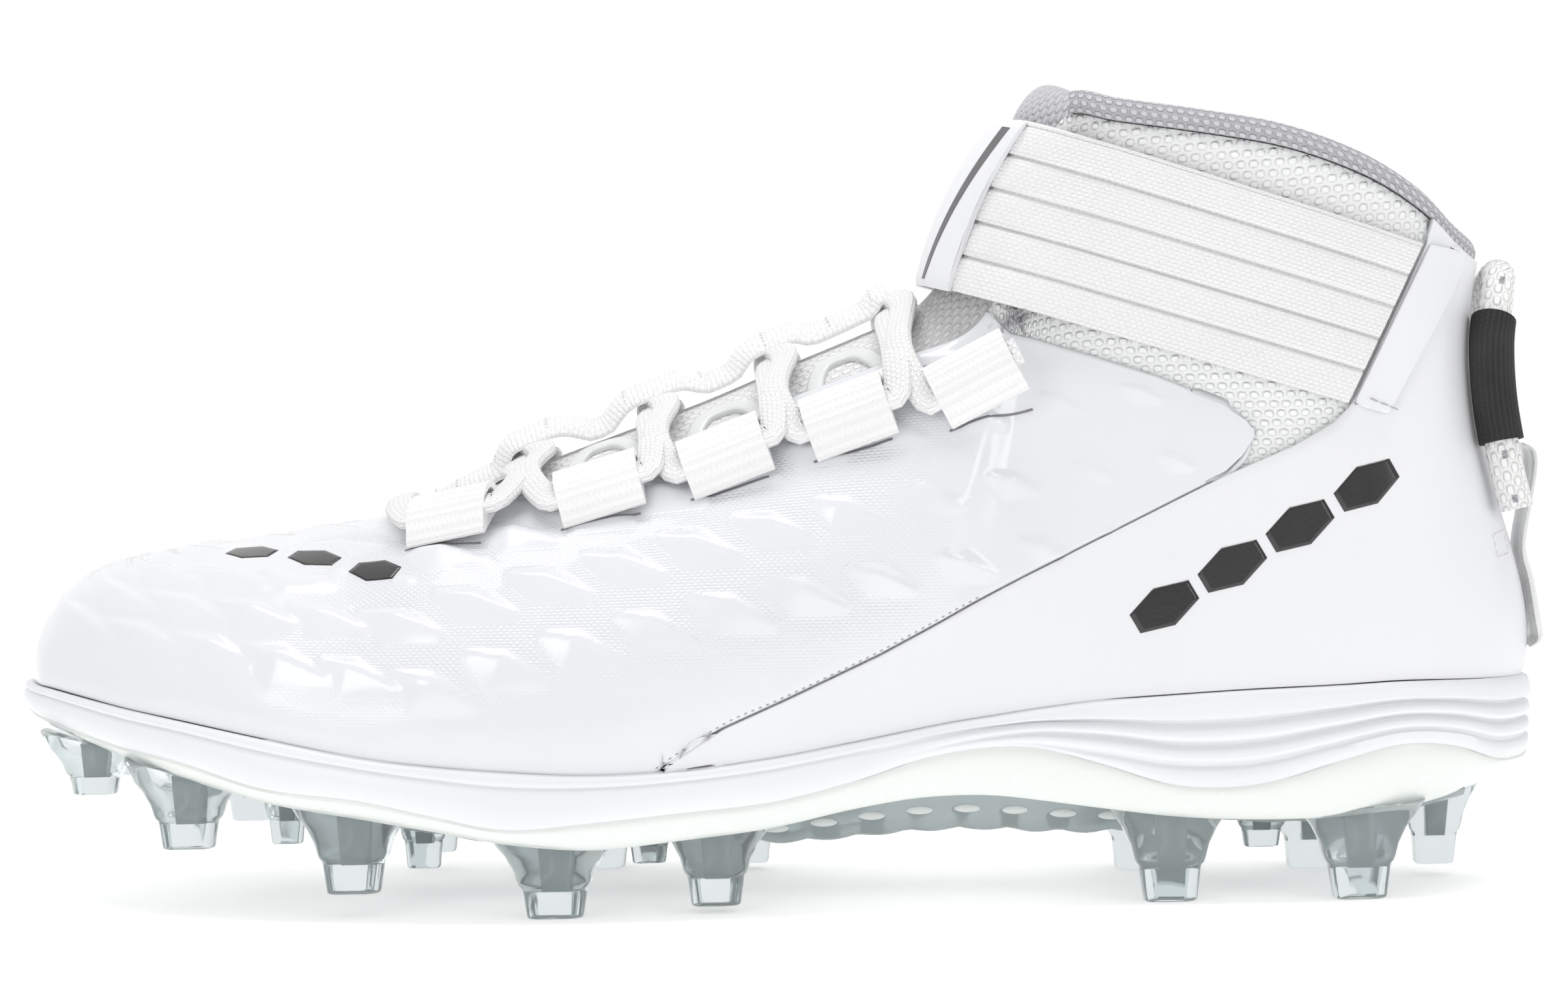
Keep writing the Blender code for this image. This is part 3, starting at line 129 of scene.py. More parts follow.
# Side outlines of the overlays, as shares of length and collar height
seamLine = (
    (0.405, 0.160), (0.4646, 0.2348), (0.5057, 0.2689), (0.5657, 0.3213), (0.6259, 0.3816),
    (0.6764, 0.4289), (0.7266, 0.4761), (0.7895, 0.5364),
)
skinTop = (
    (0.8007, 0.5580), (0.8081, 0.5823), (0.8057, 0.6013), (0.7862, 0.6289), (0.7465, 0.6610),
    (0.7067, 0.6859), (0.6670, 0.7089), (0.6530, 0.7150), (0.6200, 0.7900),
)
quarterTop = (
    (0.8327, 0.5711), (0.8579, 0.5993), (0.8704, 0.6216), (0.9205, 0.8216), (0.9300, 0.9200),
)
patchLine = ((0.8704, 0.6216), (0.9205, 0.8216), (0.9500, 0.8110), (0.8930, 0.6080))


def catmull(p0, p1, p2, p3, t):
    return 0.5 * (
        2 * p1 + (p2 - p0) * t + (2 * p0 - 5 * p1 + 4 * p2 - p3) * t * t
        + (3 * p1 - p0 - 3 * p2 + p3) * t ** 3
    )


def around(values, k):
    # smooth value at station k of a closed list
    n = len(values)
    i = math.floor(k)
    return catmull(values[(i - 1) % n], values[i % n], values[(i + 1) % n], values[(i + 2) % n], k - i)


def along(points, t):
    # smooth value at t, 0 to 1, of an open list
    s = min(max(t, 0.0), 1.0) * (len(points) - 1)
    i = min(int(s), len(points) - 2)
    first = points[i - 1] if i > 0 else 2 * points[0] - points[1]
    last = points[i + 2] if i + 2 < len(points) else 2 * points[-1] - points[-2]
    return catmull(first, points[i], points[i + 1], last, s - i)


def loopOf(values, back=None):
    # lateral side from toe to heel, then the medial side back to the toe
    back = back or values
    return list(values) + [back[i] for i in range(len(back) - 2, 0, -1)]


def smooth(low, high, value):
    t = min(max((value - low) / (high - low), 0.0), 1.0)
    return t * t * (3 - 2 * t)


def squared(value, power=0.55):
    # bends a sine or cosine so that a circle becomes a rounded square
    return math.copysign(abs(value) ** power, value)


def blend(first, last, share):
    return first * (1 - share) + last * share


def solved(valueAt, want, low, high):
    # where a rising value reaches the one that is wanted
    for _ in range(30):
        middle = (low + high) / 2
        if valueAt(middle) < want:
            low = middle
        else:
            high = middle
    return low


def soleWidth(row):
    return shoe["ballWidth"] * (1 - row[3]) + shoe["heelWidth"] * row[3]


outlineX = loopOf([row[0] * shoe["length"] for row in soleRows])
lateralY = [-row[1] * soleWidth(row) for row in soleRows]
outlineY = loopOf(lateralY, [row[2] * soleWidth(row) for row in soleRows])
feather, split, low = (loopOf([row[c] * shoe["heelStack"] for row in soleRows]) for c in (4, 5, 6))
tuck = loopOf([row[7] * shoe["ballWidth"] for row in soleRows])
topX = loopOf([row[0] * shoe["length"] for row in upperRows])
topZ = loopOf([row[1] * shoe["collarHeight"] for row in upperRows])
topSpread = loopOf([row[2] * shoe["ballWidth"] for row in upperRows])
lean, rise = (loopOf([row[c] for row in upperRows]) for c in (3, 4))
belly = loopOf([row[5] * shoe["ballWidth"] for row in upperRows])
fall = loopOf([row[6] for row in upperRows])
stationCount = len(outlineX)


def outlineAt(k, inset):
    # a point of the sole's outline moved in, and the way out from it
    dx = around(outlineX, k + 0.05) - around(outlineX, k - 0.05)
    dy = around(outlineY, k + 0.05) - around(outlineY, k - 0.05)
    out = Vector((dy, -dx, 0)).normalized()
    return Vector((around(outlineX, k), around(outlineY, k), 0)) - out * inset, out


def ridgeY(x):
    # the toe's ridge leans to the inner side
    ahead = max(0.0, 1 - x / (shoe["ridgeEnd"] * shoe["length"]))
    return shoe["ridgeShift"] * shoe["ballWidth"] * ahead


def topPoint(k):
    # a point of the bootie's top edge
    row = min(k % stationCount, stationCount - k % stationCount)
    spread = max(0.0, around(topSpread, k))
    if row <= shoe["throatRow"] or row == shoe["heelRow"]:
        spread = 0.0
    side = -1 if k % stationCount <= shoe["heelRow"] else 1
    x = around(topX, k)
    return Vector((x, ridgeY(x) + side * spread, around(topZ, k)))


def profileAt(k):
    # the four points that shape the bootie's line at one station
    foot, out = outlineAt(k, shoe["inset"])
    foot.z = around(feather, k) + shoe["gap"]
    top = topPoint(k)
    tilt = math.radians(around(lean, k))
    away = out * math.cos(tilt) - Vector((0, 0, math.sin(tilt)))
    lower = foot + Vector((0, 0, around(rise, k) * (top.z - foot.z))) + out * around(belly, k)
    upper = top + away * around(fall, k) * (top - foot).length
    return foot, lower, upper, top


def onProfile(p, v):
    # a point up a profile: 0 is its foot and 1 its top
    return p[0] * (1 - v) ** 3 + p[1] * 3 * v * (1 - v) ** 2 + p[2] * 3 * v * v * (1 - v) + p[3] * v ** 3


def evenStations(start, end, count, level=0.35, fineness=500):
    # stations equally far apart along the surface
    fine = [start + (end - start) * i / fineness for i in range(fineness + 1)]
    spots = [onProfile(profileAt(k), level) for k in fine]
    far = [0.0]
    for a, b in zip(spots, spots[1:]):
        far.append(far[-1] + (b - a).length)
    made, i = [], 0
    for n in range(count + 1):
        want = far[-1] * n / count
        while i < fineness - 1 and far[i + 1] < want:
            i += 1
        made.append(fine[i] + (fine[i + 1] - fine[i]) * (want - far[i]) / max(far[i + 1] - far[i], 1e-9))
    return made


def sideShape(shares, before=(), after=()):
    # a side outline in millimetres, from shares of length and collar height
    inside = [(x * shoe["length"], z * shoe["collarHeight"]) for x, z in shares]
    return list(before) + inside + list(after)


def insideShape(shape, x, z):
    # whether a point seen from the side lies inside an outline
    hit = False
    for (x0, z0), (x1, z1) in zip(shape, shape[1:] + shape[:1]):
        if (z0 > z) != (z1 > z) and x < x0 + (x1 - x0) * (z - z0) / (z1 - z0):
            hit = not hit
    return hit


def spanAt(p, shape, steps=60, halvings=12):
    # lowest and highest level at which one profile lies inside a side outline
    def inside(level):
        q = onProfile(p, level)
        return insideShape(shape, q.x, q.z)

    best, start = None, None
    for s, flag in enumerate([inside(s / steps) for s in range(steps + 1)] + [False]):
        if flag and start is None:
            start = s
        if not flag and start is not None:
            if best is None or s - start > best[1] - best[0]:
                best = (start, s)
            start = None
    if best is None:
        return None
    ends = []
    for inner, outer in ((best[0], best[0] - 1), (best[1] - 1, best[1])):
        a, b = inner / steps, outer / steps
        for _ in range(halvings if 0 <= outer <= steps else 0):
            middle = (a + b) / 2
            if inside(middle):
                a = middle
            else:
                b = middle
        ends.append(a)
    return ends


def inFrame(p):
    # from the form's millimetres to the frame's metres
    return (Vector(p) + Vector(shoe["shift"])) * mm


def finished(name, bm, finish, smoothAngle=40, merge=0.004, outward=True):
    # merges what meets, points the faces out and makes the object
    if merge:
        bmesh.ops.remove_doubles(bm, verts=bm.verts[:], dist=merge * mm)
        bmesh.ops.dissolve_degenerate(bm, edges=bm.edges[:], dist=merge * mm * 0.3)
    if outward:
        bmesh.ops.recalc_face_normals(bm, faces=bm.faces[:])
    mesh = bpy.data.meshes.new(name)
    bm.to_mesh(mesh)
    bm.free()
    made = bpy.data.objects.new(name, mesh)
    bpy.context.scene.collection.objects.link(made)
    mesh.shade_smooth()
    if smoothAngle:
        mesh.set_sharp_from_angle(angle=math.radians(smoothAngle))
    mesh.materials.append(finish)
    return made


def walled(made, thick):
    # gives a sheet its thickness, on the foot's side
    wall = made.modifiers.new("wall", "SOLIDIFY")
    wall.thickness = thick * mm
    wall.offset = -1
    return made


def faceOut(bm, merge):
    # closes a sheet of the shoe's surface where it meets itself and turns its faces to the outside
    bmesh.ops.remove_doubles(bm, verts=bm.verts[:], dist=merge * mm)
    bmesh.ops.recalc_face_normals(bm, faces=bm.faces[:])
    bm.normal_update()
    lateral = min(bm.faces, key=lambda face: face.calc_center_median().y)
    if lateral.normal.y > 0:
        bmesh.ops.reverse_faces(bm, faces=bm.faces[:])
        bm.normal_update()


def gridInto(bm, columns, rows, placeAt, uvAt=None):
    # adds a grid and moves its corners: placeAt takes the column and the row
    before = set(bm.verts)
    bmesh.ops.create_grid(bm, x_segments=columns, y_segments=rows, size=1.0)
    fresh = [v for v in bm.verts if v not in before]
    spot = {v: (round((v.co.x + 1) / 2 * columns), round((v.co.y + 1) / 2 * rows)) for v in fresh}
    if uvAt is not None:
        sheet = bm.loops.layers.uv.verify()
        for face in {f for v in fresh for f in v.link_faces}:
            for corner in face.loops:
                corner[sheet].uv = uvAt(*spot[corner.vert])
    for v, (i, j) in spot.items():
        v.co = inFrame(placeAt(i, j))
    return spot


def sweepInto(bm, rings, closedPath=False):
    # a skin through closed rings of points, with flat ends, and a map in metres along and round it
    path, sides = len(rings) - (0 if closedPath else 1), len(rings[0])
    far = [0.0]
    for a, b in zip(rings, rings[1:] + rings[:1]):
        far.append(far[-1] + (sum(b, Vector()) / sides - sum(a, Vector()) / sides).length)
    halfway = rings[len(rings) // 2]
    girth = [0.0]
    for a, b in zip(halfway, halfway[1:] + halfway[:1]):
        girth.append(girth[-1] + (b - a).length)
    spot = gridInto(
        bm, path, sides, lambda i, j: rings[i % len(rings)][j % sides],
        lambda i, j: (far[i] * mm, girth[j] * mm),
    )
    for end in () if closedPath else (0, path):
        rim = {}
        for v, (i, j) in spot.items():
            if i == end:
                rim.setdefault(j % sides, v)
        corners = [rim[j] for j in sorted(rim)]
        bm.faces.new(corners if end else corners[::-1])


class Wire:
    # a shader value that can be written in sums
    def __init__(self, tree, socket):
        self.tree, self.socket = tree, socket

    def work(self, operation, *values):
        node = self.tree.nodes.new("ShaderNodeMath")
        node.operation = operation
        for slot, value in zip(node.inputs, values):
            if isinstance(value, Wire):
                self.tree.links.new(value.socket, slot)
            else:
                slot.default_value = value
        return Wire(self.tree, node.outputs[0])

    def shaped(self, operation):
        # a function of this value alone, such as its sine
        return self.work(operation, self)

    def __add__(self, other):
        return self.work("ADD", self, other)

    def __radd__(self, other):
        return self.work("ADD", other, self)

    def __sub__(self, other):
        return self.work("SUBTRACT", self, other)

    def __rsub__(self, other):
        return self.work("SUBTRACT", other, self)

    def __mul__(self, other):
        return self.work("MULTIPLY", self, other)

    def __rmul__(self, other):
        return self.work("MULTIPLY", other, self)

    def __truediv__(self, other):
        return self.work("DIVIDE", self, other)


def addNode(tree, kind, settings=None, inputs=None, out=0):
    # any node but a Math node: its settings first, then the values or wires of its sockets
    made = tree.nodes.new("ShaderNode" + kind)
    for key, value in (settings or {}).items():
        setattr(made, key, value)
    for key, value in (inputs or {}).items():
        if isinstance(value, Wire):
            tree.links.new(value.socket, made.inputs[key])
        else:
            made.inputs[key].default_value = value
    return Wire(tree, made.outputs[out])


class Finish:
    # a material while it is put together
    def __init__(self, name, colour, roughness, **fixed):
        self.material = bpy.data.materials.new(name)
        self.material.use_nodes = True
        self.material.diffuse_color = (*colour, 1.0)
        self.tree = self.material.node_tree
        self.shader = self.tree.nodes["Principled BSDF"]
        self.colour = colour
        self.shader.inputs["Base Color"].default_value = (*colour, 1.0)
        self.shader.inputs["Roughness"].default_value = roughness
        for key, value in fixed.items():
            self.shader.inputs[key.replace("_", " ")].default_value = value

    def node(self, kind, settings=None, inputs=None, out=0):
        return addNode(self.tree, kind, settings, inputs, out)

    def place(self):
        return self.node("TexCoord", out="Object")

    def sheet(self):
        return self.split(self.node("TexCoord", out="UV"))[:2]

    def split(self, vector):
        return [self.node("SeparateXYZ", inputs={0: vector}, out=i) for i in range(3)]

    def cloud(self, vector, size, detail=2.0, rough=0.5):
        # soft noise whose lumps are about that many metres wide
        return self.node("TexNoise", inputs={
            "Vector": vector, "Scale": 1.0 / size, "Detail": detail, "Roughness": rough,
        })

    def cells(self, vector, size):
        return self.node("TexVoronoi", inputs={"Vector": vector, "Scale": 1.0 / size})

    def between(self, value, low, high, toLow=0.0, toHigh=1.0):
        return self.node("MapRange", {"interpolation_type": "SMOOTHSTEP"}, {
            "Value": value, "From Min": low, "From Max": high, "To Min": toLow, "To Max": toHigh,
        })

    def specks(self, vector, marks, patches):
        # small marks in patches: size, detail, low and high of the one, size, low and high of the other
        size, detail, low, high = marks
        fine = self.between(self.cloud(vector, size, detail, 0.7), low, high)
        return fine * self.between(self.cloud(vector, patches[0]), *patches[1:])

    def attribute(self, name):
        return self.node("Attribute", {"attribute_name": name}, out="Fac")

    def paint(self, factor, other, base=None):
        # mixes another colour in where factor is 1
        under = base if base is not None else (*self.colour, 1.0)
        inputs = {0: factor, 6: under, 7: (*other, 1.0)}
        return self.node("Mix", {"data_type": "RGBA", "clamp_factor": True}, inputs, out=2)

    def done(self, colour=None, rough=None, bumps=()):
        # bumps: height in metres and its wire, from coarse to fine
        if colour is not None:
            self.tree.links.new(colour.socket, self.shader.inputs["Base Color"])
        if rough is not None:
            self.tree.links.new(rough.socket, self.shader.inputs["Roughness"])
        last = None
        for height, wire in bumps:
            inputs = {"Height": wire, "Distance": height, "Strength": 1.0}
            if last is not None:
                inputs["Normal"] = last
            last = self.node("Bump", inputs=inputs)
        if last is not None:
            self.tree.links.new(last.socket, self.shader.inputs["Normal"])
        return self.material


def staggered(u, v, wide, tall):
    # brick-like rows of small pads: 0 at their edges, 1 at their middles
    row = (v / tall).shaped("FLOOR")
    a = (u / wide + row * 0.5).shaped("FRACT")
    b = (v / tall).shaped("FRACT")
    return (a * math.pi).shaped("SINE") * (b * math.pi).shaped("SINE")


def skinFinish():
    f = Finish("glossySkin", (0.775, 0.785, 0.81), 0.16, Coat_Weight=0.3, Coat_Roughness=0.08)
    place = f.place()
    weave = staggered(*f.sheet(), 0.00125, 0.00062) * f.attribute("weave")
    colour = f.paint(f.between(f.cloud(place, 0.03), 0.35, 0.75) * 0.35, (0.74, 0.755, 0.79))
    marks = f.specks(place, (0.0016, 3.0, 0.70, 0.78), (0.025, 0.5, 0.7))
    colour = f.paint(marks * 0.25, (0.55, 0.53, 0.50), colour)
    rough = 0.15 + f.between(f.cloud(place, 0.012, 4.0, 0.6), 0.3, 0.8) * 0.10 + weave * 0.15
    return f.done(colour, rough, ((0.0006, f.cloud(place, 0.014, 1.0)), (0.00011, weave)))


def quarterFinish():
    f = Finish("mattSynthetic", (0.80, 0.805, 0.825), 0.42)
    place = f.place()
    colour = f.paint(f.between(f.cloud(place, 0.04), 0.35, 0.75) * 0.4, (0.765, 0.775, 0.80))
    scuffs = f.specks(place, (0.0018, 3.0, 0.71, 0.78), (0.03, 0.52, 0.7))
    colour = f.paint(scuffs * 0.2, (0.5, 0.48, 0.45), colour)
    rough = 0.38 + f.between(f.cloud(place, 0.02, 3.0), 0.3, 0.7) * 0.10
    grain = f.cloud(place, 0.0007, 2.0, 0.6)
    return f.done(colour, rough, ((0.0008, f.cloud(place, 0.03, 0.0)), (0.00003, grain)))


def knitFinish():
    # small hexagon dimples
    f = Finish("ankleKnit", (0.90, 0.91, 0.905), 0.75, Sheen_Weight=0.25)
    pit = f.between(staggered(*f.sheet(), 0.0024, 0.0018), 0.15, 0.85)
    # painted shade: the knit is darkened where it sinks between its raised pads
    colour = f.paint((1 - pit) * 0.22, (0.62, 0.64, 0.62))
    return f.done(colour, None, ((0.00035, pit), (0.00008, f.cells(f.place(), 0.00055))))


def foamFinish():
    f = Finish("midsoleFoam", (0.80, 0.81, 0.83), 0.42)
    place = f.place()
    haze = f.cloud(place, 0.03)
    colour = f.paint(f.between(haze, 0.35, 0.75) * 0.4, (0.76, 0.775, 0.80))
    dirt = f.specks(place, (0.004, 4.0, 0.62, 0.72), (0.03, 0.5, 0.65))
    colour = f.paint(dirt * 0.12, (0.45, 0.42, 0.38), colour)
    rough = 0.36 + f.between(haze, 0.3, 0.7) * 0.12
    return f.done(colour, rough, ((0.00004, f.cloud(place, 0.0009, 2.0)),))


def clearFinish(name, tint, roughness, transmission):
    f = Finish(name, tint, roughness, Transmission_Weight=transmission, IOR=1.49)
    place = f.place()
    rough = roughness + f.between(f.cloud(place, 0.006, 3.0), 0.4, 0.8) * 0.08
    return f.done(None, rough, ((0.0004, f.cloud(place, 0.012, 1.0)),))


def plainFinish(name, colour, roughness, darker=0.9, grain=0.0008, depth=0.00004, **fixed):
    f = Finish(name, colour, roughness, **fixed)
    place = f.place()
    mixed = f.paint(f.between(f.cloud(place, 0.012), 0.35, 0.7), tuple(c * darker for c in colour))
    rough = roughness * (0.9 + f.between(f.cloud(place, 0.005), 0.3, 0.7) * 0.2)
    return f.done(mixed, rough, ((depth, f.cloud(place, grain, 2.0)),))


finishes = {
    "skin": skinFinish(),
    "quarter": quarterFinish(),
    "knit": knitFinish(),
    "foam": foamFinish(),
    "band": clearFinish("plateBand", (0.79, 0.82, 0.795), 0.22, 0.0),
    "stud": clearFinish("plateStud", (0.80, 0.85, 0.86), 0.05, 0.94),
    "truss": clearFinish("plateTruss", (0.56, 0.62, 0.63), 0.12, 0.55),
    "core": clearFinish("studCore", (0.50, 0.56, 0.57), 0.2, 0.3),
}
print("finishes made")

# Small flat black tiles: a slanting row on the rear overlay, a shorter one on the toe
accents = {
    "quarter": ((222.5, 57.0), (235.5, 64.5), (248.5, 72.0), (261.5, 79.5)), "slant": 30, "size": (15.0, 7.0),
    "toe": ((47, -12.5), (60, -20.5), (72.5, -29.5)), "toeWay": (1, -0.62, -0.2), "toeSize": (12.5, 5.6),
    "lift": 0.09, "thick": 0.12, "calm": (5.0, 9.5),
}

# Front skin, its weave and its raised tiles, placed along the shoe and round its girth
skin = {
    "columns": 600, "rows": 74, "end": 20.6, "edge": 0.5, "pole": 4.0, "poleRounds": 60, "ridge": 5.0,
    "weaveFrom": (48, 70), "weaveTo": (165, 190), "weaveOver": (34, 46), "weaveSlope": (0.12, 76),
    "weaveUnder": (6.0, 16.0), "weaveBeside": (0.03, 0.25),
}
tile = {
    "first": (76.4, 48.0), "step": 14.0, "back": -6.3, "rise": 13.0, "rows": 6, "columns": (-5, 10),
    "spread": (1.6, 6), "climb": (3.9, 0.11), "toeClimb": 2.3, "toeRise": 0.9, "height": 1.5,
    "toeHeight": (0.65, 20.0, 80.0), "shrink": (0.085, 4), "lower": (0.06, 5), "middle": (8.5, -4.7),
    "along": (-1, 18), "round": (-10, 1),
}
tileShape = ((0.0, 0.0), (8.6, -0.3), (17.5, -6.2), (16.6, -9.2), (5.0, -9.4), (-0.6, -2.6))
tileSlope = (0.68, 0.62, 0.45, 0.20, 0.24, 0.50)


def tilePlace(r, c):
    # where the tile in row r and column c has its front corner
    spread, spreadFrom = tile["spread"]
    climb, bend = tile["climb"]
    x = tile["first"][0] + tile["step"] * c + spread * max(0, c - spreadFrom) + tile["back"] * r
    g = tile["first"][1] + (climb * c - bend * c * c if c >= 0 else -tile["toeClimb"] * c)
    return x, g + r * (tile["rise"] + tile["toeRise"] * min(c, 0))


def tileLift(x, g):
    # how far the skin stands out at a distance along the shoe and round its girth
    best = 0.0
    low, toeStart, toeEnd = tile["toeHeight"]
    toe = low + (1 - low) * smooth(toeStart, toeEnd, x)
    for r in range(tile["rows"]):
        guess = math.floor((x - tile["first"][0] - tile["back"] * r) / tile["step"])
        for c in range(max(guess - 2, tile["columns"][0]), min(guess, tile["columns"][1] - (r == 0)) + 1):
            px, pg = tilePlace(r, c)
            fade = 1 - tile["shrink"][0] * max(0, c - tile["shrink"][1])
            dx = (x - px - tile["middle"][0] * (1 - fade)) / fade
            dg = (g - pg - tile["middle"][1] * (1 - fade)) / fade
            if not (tile["along"][0] < dx < tile["along"][1] and tile["round"][0] < dg < tile["round"][1]):
                continue
            slopes = []
            for n, slope in enumerate(tileSlope):
                (x0, g0), (x1, g1) = tileShape[n], tileShape[(n + 1) % 6]
                away = ((x1 - x0) * (g0 - dg) - (x0 - dx) * (g1 - g0)) / math.hypot(x1 - x0, g1 - g0)
                slopes.append(away * slope)
            lower = 1 - tile["lower"][0] * max(0, c - tile["lower"][1])
            best = max(best, min(min(slopes) * toe, tile["height"]) * fade * lower)
    return best


def skinRelief(point, g, top):
    # lift of the tiles and strength of the weave; both stop at the ridge, the tiles at the black ones too
    calm = min([math.hypot(point.x - x, point.y - y) for x, y in accents["toe"]])
    lift = tileLift(point.x, g) * smooth(0.0, skin["ridge"], top - g) * smooth(*accents["calm"], calm)
    zone = smooth(*skin["weaveFrom"], point.x) * (1 - smooth(*skin["weaveTo"], point.x))
    slope, level = skin["weaveSlope"]
    zone *= smooth(*skin["weaveOver"], g - slope * (point.x - level))
    return lift, zone * (1 - smooth(*skin["weaveBeside"], lift)) * smooth(*skin["weaveUnder"], top - g)


def sheetColumn(k, shape, rows, edge, lead=12):
    # points up one profile inside an outline, their girths from the sole up, and which ends are cut
    p = profileAt(k)
    a, b = spanAt(p, shape) or (0.5, 0.5001)
    last, g = p[0], p[0].z
    for s in range(1, lead + 1):
        q = onProfile(p, a * s / lead)
        g += math.hypot(q.y - last.y, q.z - last.z)
        last = q
    near = min(edge / max((onProfile(p, b) - onProfile(p, a)).length, 0.05), 0.3)
    points, girth = [], []
    for j in range(rows + 1):
        t = near if j == 1 else 1 - near if j == rows - 1 else j / rows
        points.append(onProfile(p, a + (b - a) * t))
        g += math.hypot(points[-1].y - last.y, points[-1].z - last.z)
        last = points[-1]
        girth.append(g)
    return points, girth, a > 0.001, b < 0.999


def trimmedSheet(name, stations, shape, rows, lift, edge, finish, wall, relief=None, free=None):
    # part of the bootie's surface inside a side outline, lifted off it, with a wall behind
    columns = [sheetColumn(k, shape, rows, edge) for k in stations]
    bm = bmesh.new()
    liftLayer = bm.verts.layers.float.new("lift")
    weaveLayer = bm.verts.layers.float.new("weave")
    spot = gridInto(
        bm, len(stations) - 1, rows, lambda i, j: columns[i][0][j],
        lambda i, j: (columns[i][0][j].x * mm, columns[i][1][j] * mm),
    )
    for v, (i, j) in spot.items():
        points, girth, openLow, openHigh = columns[i]
        height, weave = relief(points[j], girth[j], girth[-1]) if relief else (0.0, 0.0)
        atTop = j == rows and (openHigh or (free and free(stations[i])))
        rim = atTop or (j == 0 and openLow) or i in (0, len(stations) - 1)
        v[liftLayer] = (lift + height - (edge if rim else 0.0)) * mm
        v[weaveLayer] = weave
    faceOut(bm, 0.02)
    for v in bm.verts:
        v.co += v.normal * v[liftLayer]
    crowd = [v for v in bm.verts if (v.co - inFrame(topPoint(0))).length < skin["pole"] * mm]
    for _ in range(skin["poleRounds"] if crowd else 0):
        bmesh.ops.smooth_vert(bm, verts=crowd, factor=0.5, use_axis_x=True, use_axis_y=True, use_axis_z=True)
    return walled(finished(name, bm, finish, smoothAngle=0, merge=0, outward=False), wall)


def dressed(made, slotName, *nodes):
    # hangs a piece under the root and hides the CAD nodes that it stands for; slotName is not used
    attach(made, "root")
    if nodes:
        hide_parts(*nodes)
    return made


def madeFrom(name, rings, finish, slotName, *nodes, smoothAngle=50, closedPath=False):
    # a piece skinned through rings of points
    bm = bmesh.new()
    sweepInto(bm, rings, closedPath)
    return dressed(finished(name, bm, finish, smoothAngle=smoothAngle), slotName, *nodes)


skinShape = sideShape(
    seamLine + skinTop, before=[(-20.0, 0.0), (seamLine[0][0] * shoe["length"], 0.0)],
    after=[(-20.0, shoe["collarHeight"] * 0.85)],
)
half = evenStations(0, skin["end"], skin["columns"] // 2, 0.5)
vampSkin = trimmedSheet(
    "vampSkin", [-k for k in reversed(half[1:])] + half, skinShape, skin["rows"],
    shoe["gap"] + shoe["skinWall"], skin["edge"], finishes["skin"], shoe["skinWall"], skinRelief,
    lambda k: abs(k) > shoe["throatRow"] + 0.01,
)
dressed(vampSkin, "glossy_skin", "vamp_shell")
print("front skin made")

# Rear overlay
quarter = {"columns": 260, "rows": 40, "start": 9.4, "edge": 0.3, "seamGap": (0.14, -0.10)}
seamShift = (quarter["seamGap"][0] / shoe["length"], quarter["seamGap"][1] / shoe["collarHeight"])
seamBack = tuple((x + seamShift[0], z + seamShift[1]) for x, z in seamLine)
behind = shoe["length"] + 20
quarterShape = sideShape(
    seamBack + quarterTop, before=[(seamBack[0][0] * shoe["length"], 0.0)],
    after=[(behind, shoe["collarHeight"] * 0.92), (behind, 0.0)],
)
heelQuarter = trimmedSheet(
    "heelQuarter", evenStations(quarter["start"], stationCount - quarter["start"], quarter["columns"], 0.2),
    quarterShape, quarter["rows"], shoe["gap"] + shoe["quarterWall"], quarter["edge"], finishes["quarter"],
    shoe["quarterWall"],
)
dressed(heelQuarter, "matt_synthetic", "heel_quarter")

# Bootie: knit at the ankle, hidden under the overlays elsewhere
bootie = {"columns": 230, "rows": 46}
half = evenStations(0, stationCount / 2, bootie["columns"] // 2)
bootieRows = [profileAt(k % stationCount) for k in half + [stationCount - k for k in reversed(half[:-1])]]
bootieFar = [0.0]
for a, b in zip(bootieRows, bootieRows[1:]):
    bootieFar.append(bootieFar[-1] + (onProfile(b, 0.6) - onProfile(a, 0.6)).length)
bootieTall = [(onProfile(p, 1) - p[0]).length for p in bootieRows]
bm = bmesh.new()
gridInto(
    bm, bootie["columns"], bootie["rows"], lambda i, j: onProfile(bootieRows[i], j / bootie["rows"]),
    lambda i, j: (bootieFar[i] * mm, bootieTall[i] * j / bootie["rows"] * mm),
)
faceOut(bm, 0.02)
bootieSkin = finished("ankleBootie", bm, finishes["knit"], smoothAngle=0, merge=0, outward=False)
dressed(walled(bootieSkin, shoe["wall"]), "ankle_mesh", "upper")
print("rear overlay and bootie made")


def ripple(value, period):
    # waves from 0 to 1 along a value in metres
    return (value * (2 * math.pi / period)).shaped("SINE") * 0.5 + 0.5


def clothFinish(name, colour, pads, height, lines=None, darker=0.93, sheen=0.3, flecks=None, topColour=None):
    # woven or knitted cloth mapped on the piece's own sheet: pads are stitches, lines are ribs across u or v
    f = Finish(name, colour, 0.8, Sheen_Weight=sheen)
    place = f.place()
    u, v = f.sheet()
    weave = staggered(u, v, *pads)
    if lines:
        weave = weave * 0.4 + ripple(u if lines[0] == "u" else v, lines[1]) * 0.6
    pit = f.between(weave, 0.05, 0.75, 1.0, 0.0)
    base = None
    if topColour:
        base = f.paint(f.between(f.split(place)[2], topColour[1], topColour[1] + 0.001), topColour[0])
    # painted shade: the gaps between stitches, the low places of the bump, are darkened towards near black by
    # 1 - darker
    mixed = f.paint(pit * (1 - darker), (0.2, 0.2, 0.22), base)
    mixed = f.paint(f.between(f.cloud(place, 0.02), 0.4, 0.75) * 0.06, (0.5, 0.5, 0.5), mixed)
    if flecks:
        spots = f.between(ripple(u, 0.0085), 0.90, 0.94) * f.between(ripple(v + 0.0012, 0.0052), 0.86, 0.92)
        mixed = f.paint(spots, flecks, mixed)
    return f.done(mixed, None, ((height, 1 - pit), (0.00008, f.cloud(place, 0.0004, 1.0))))
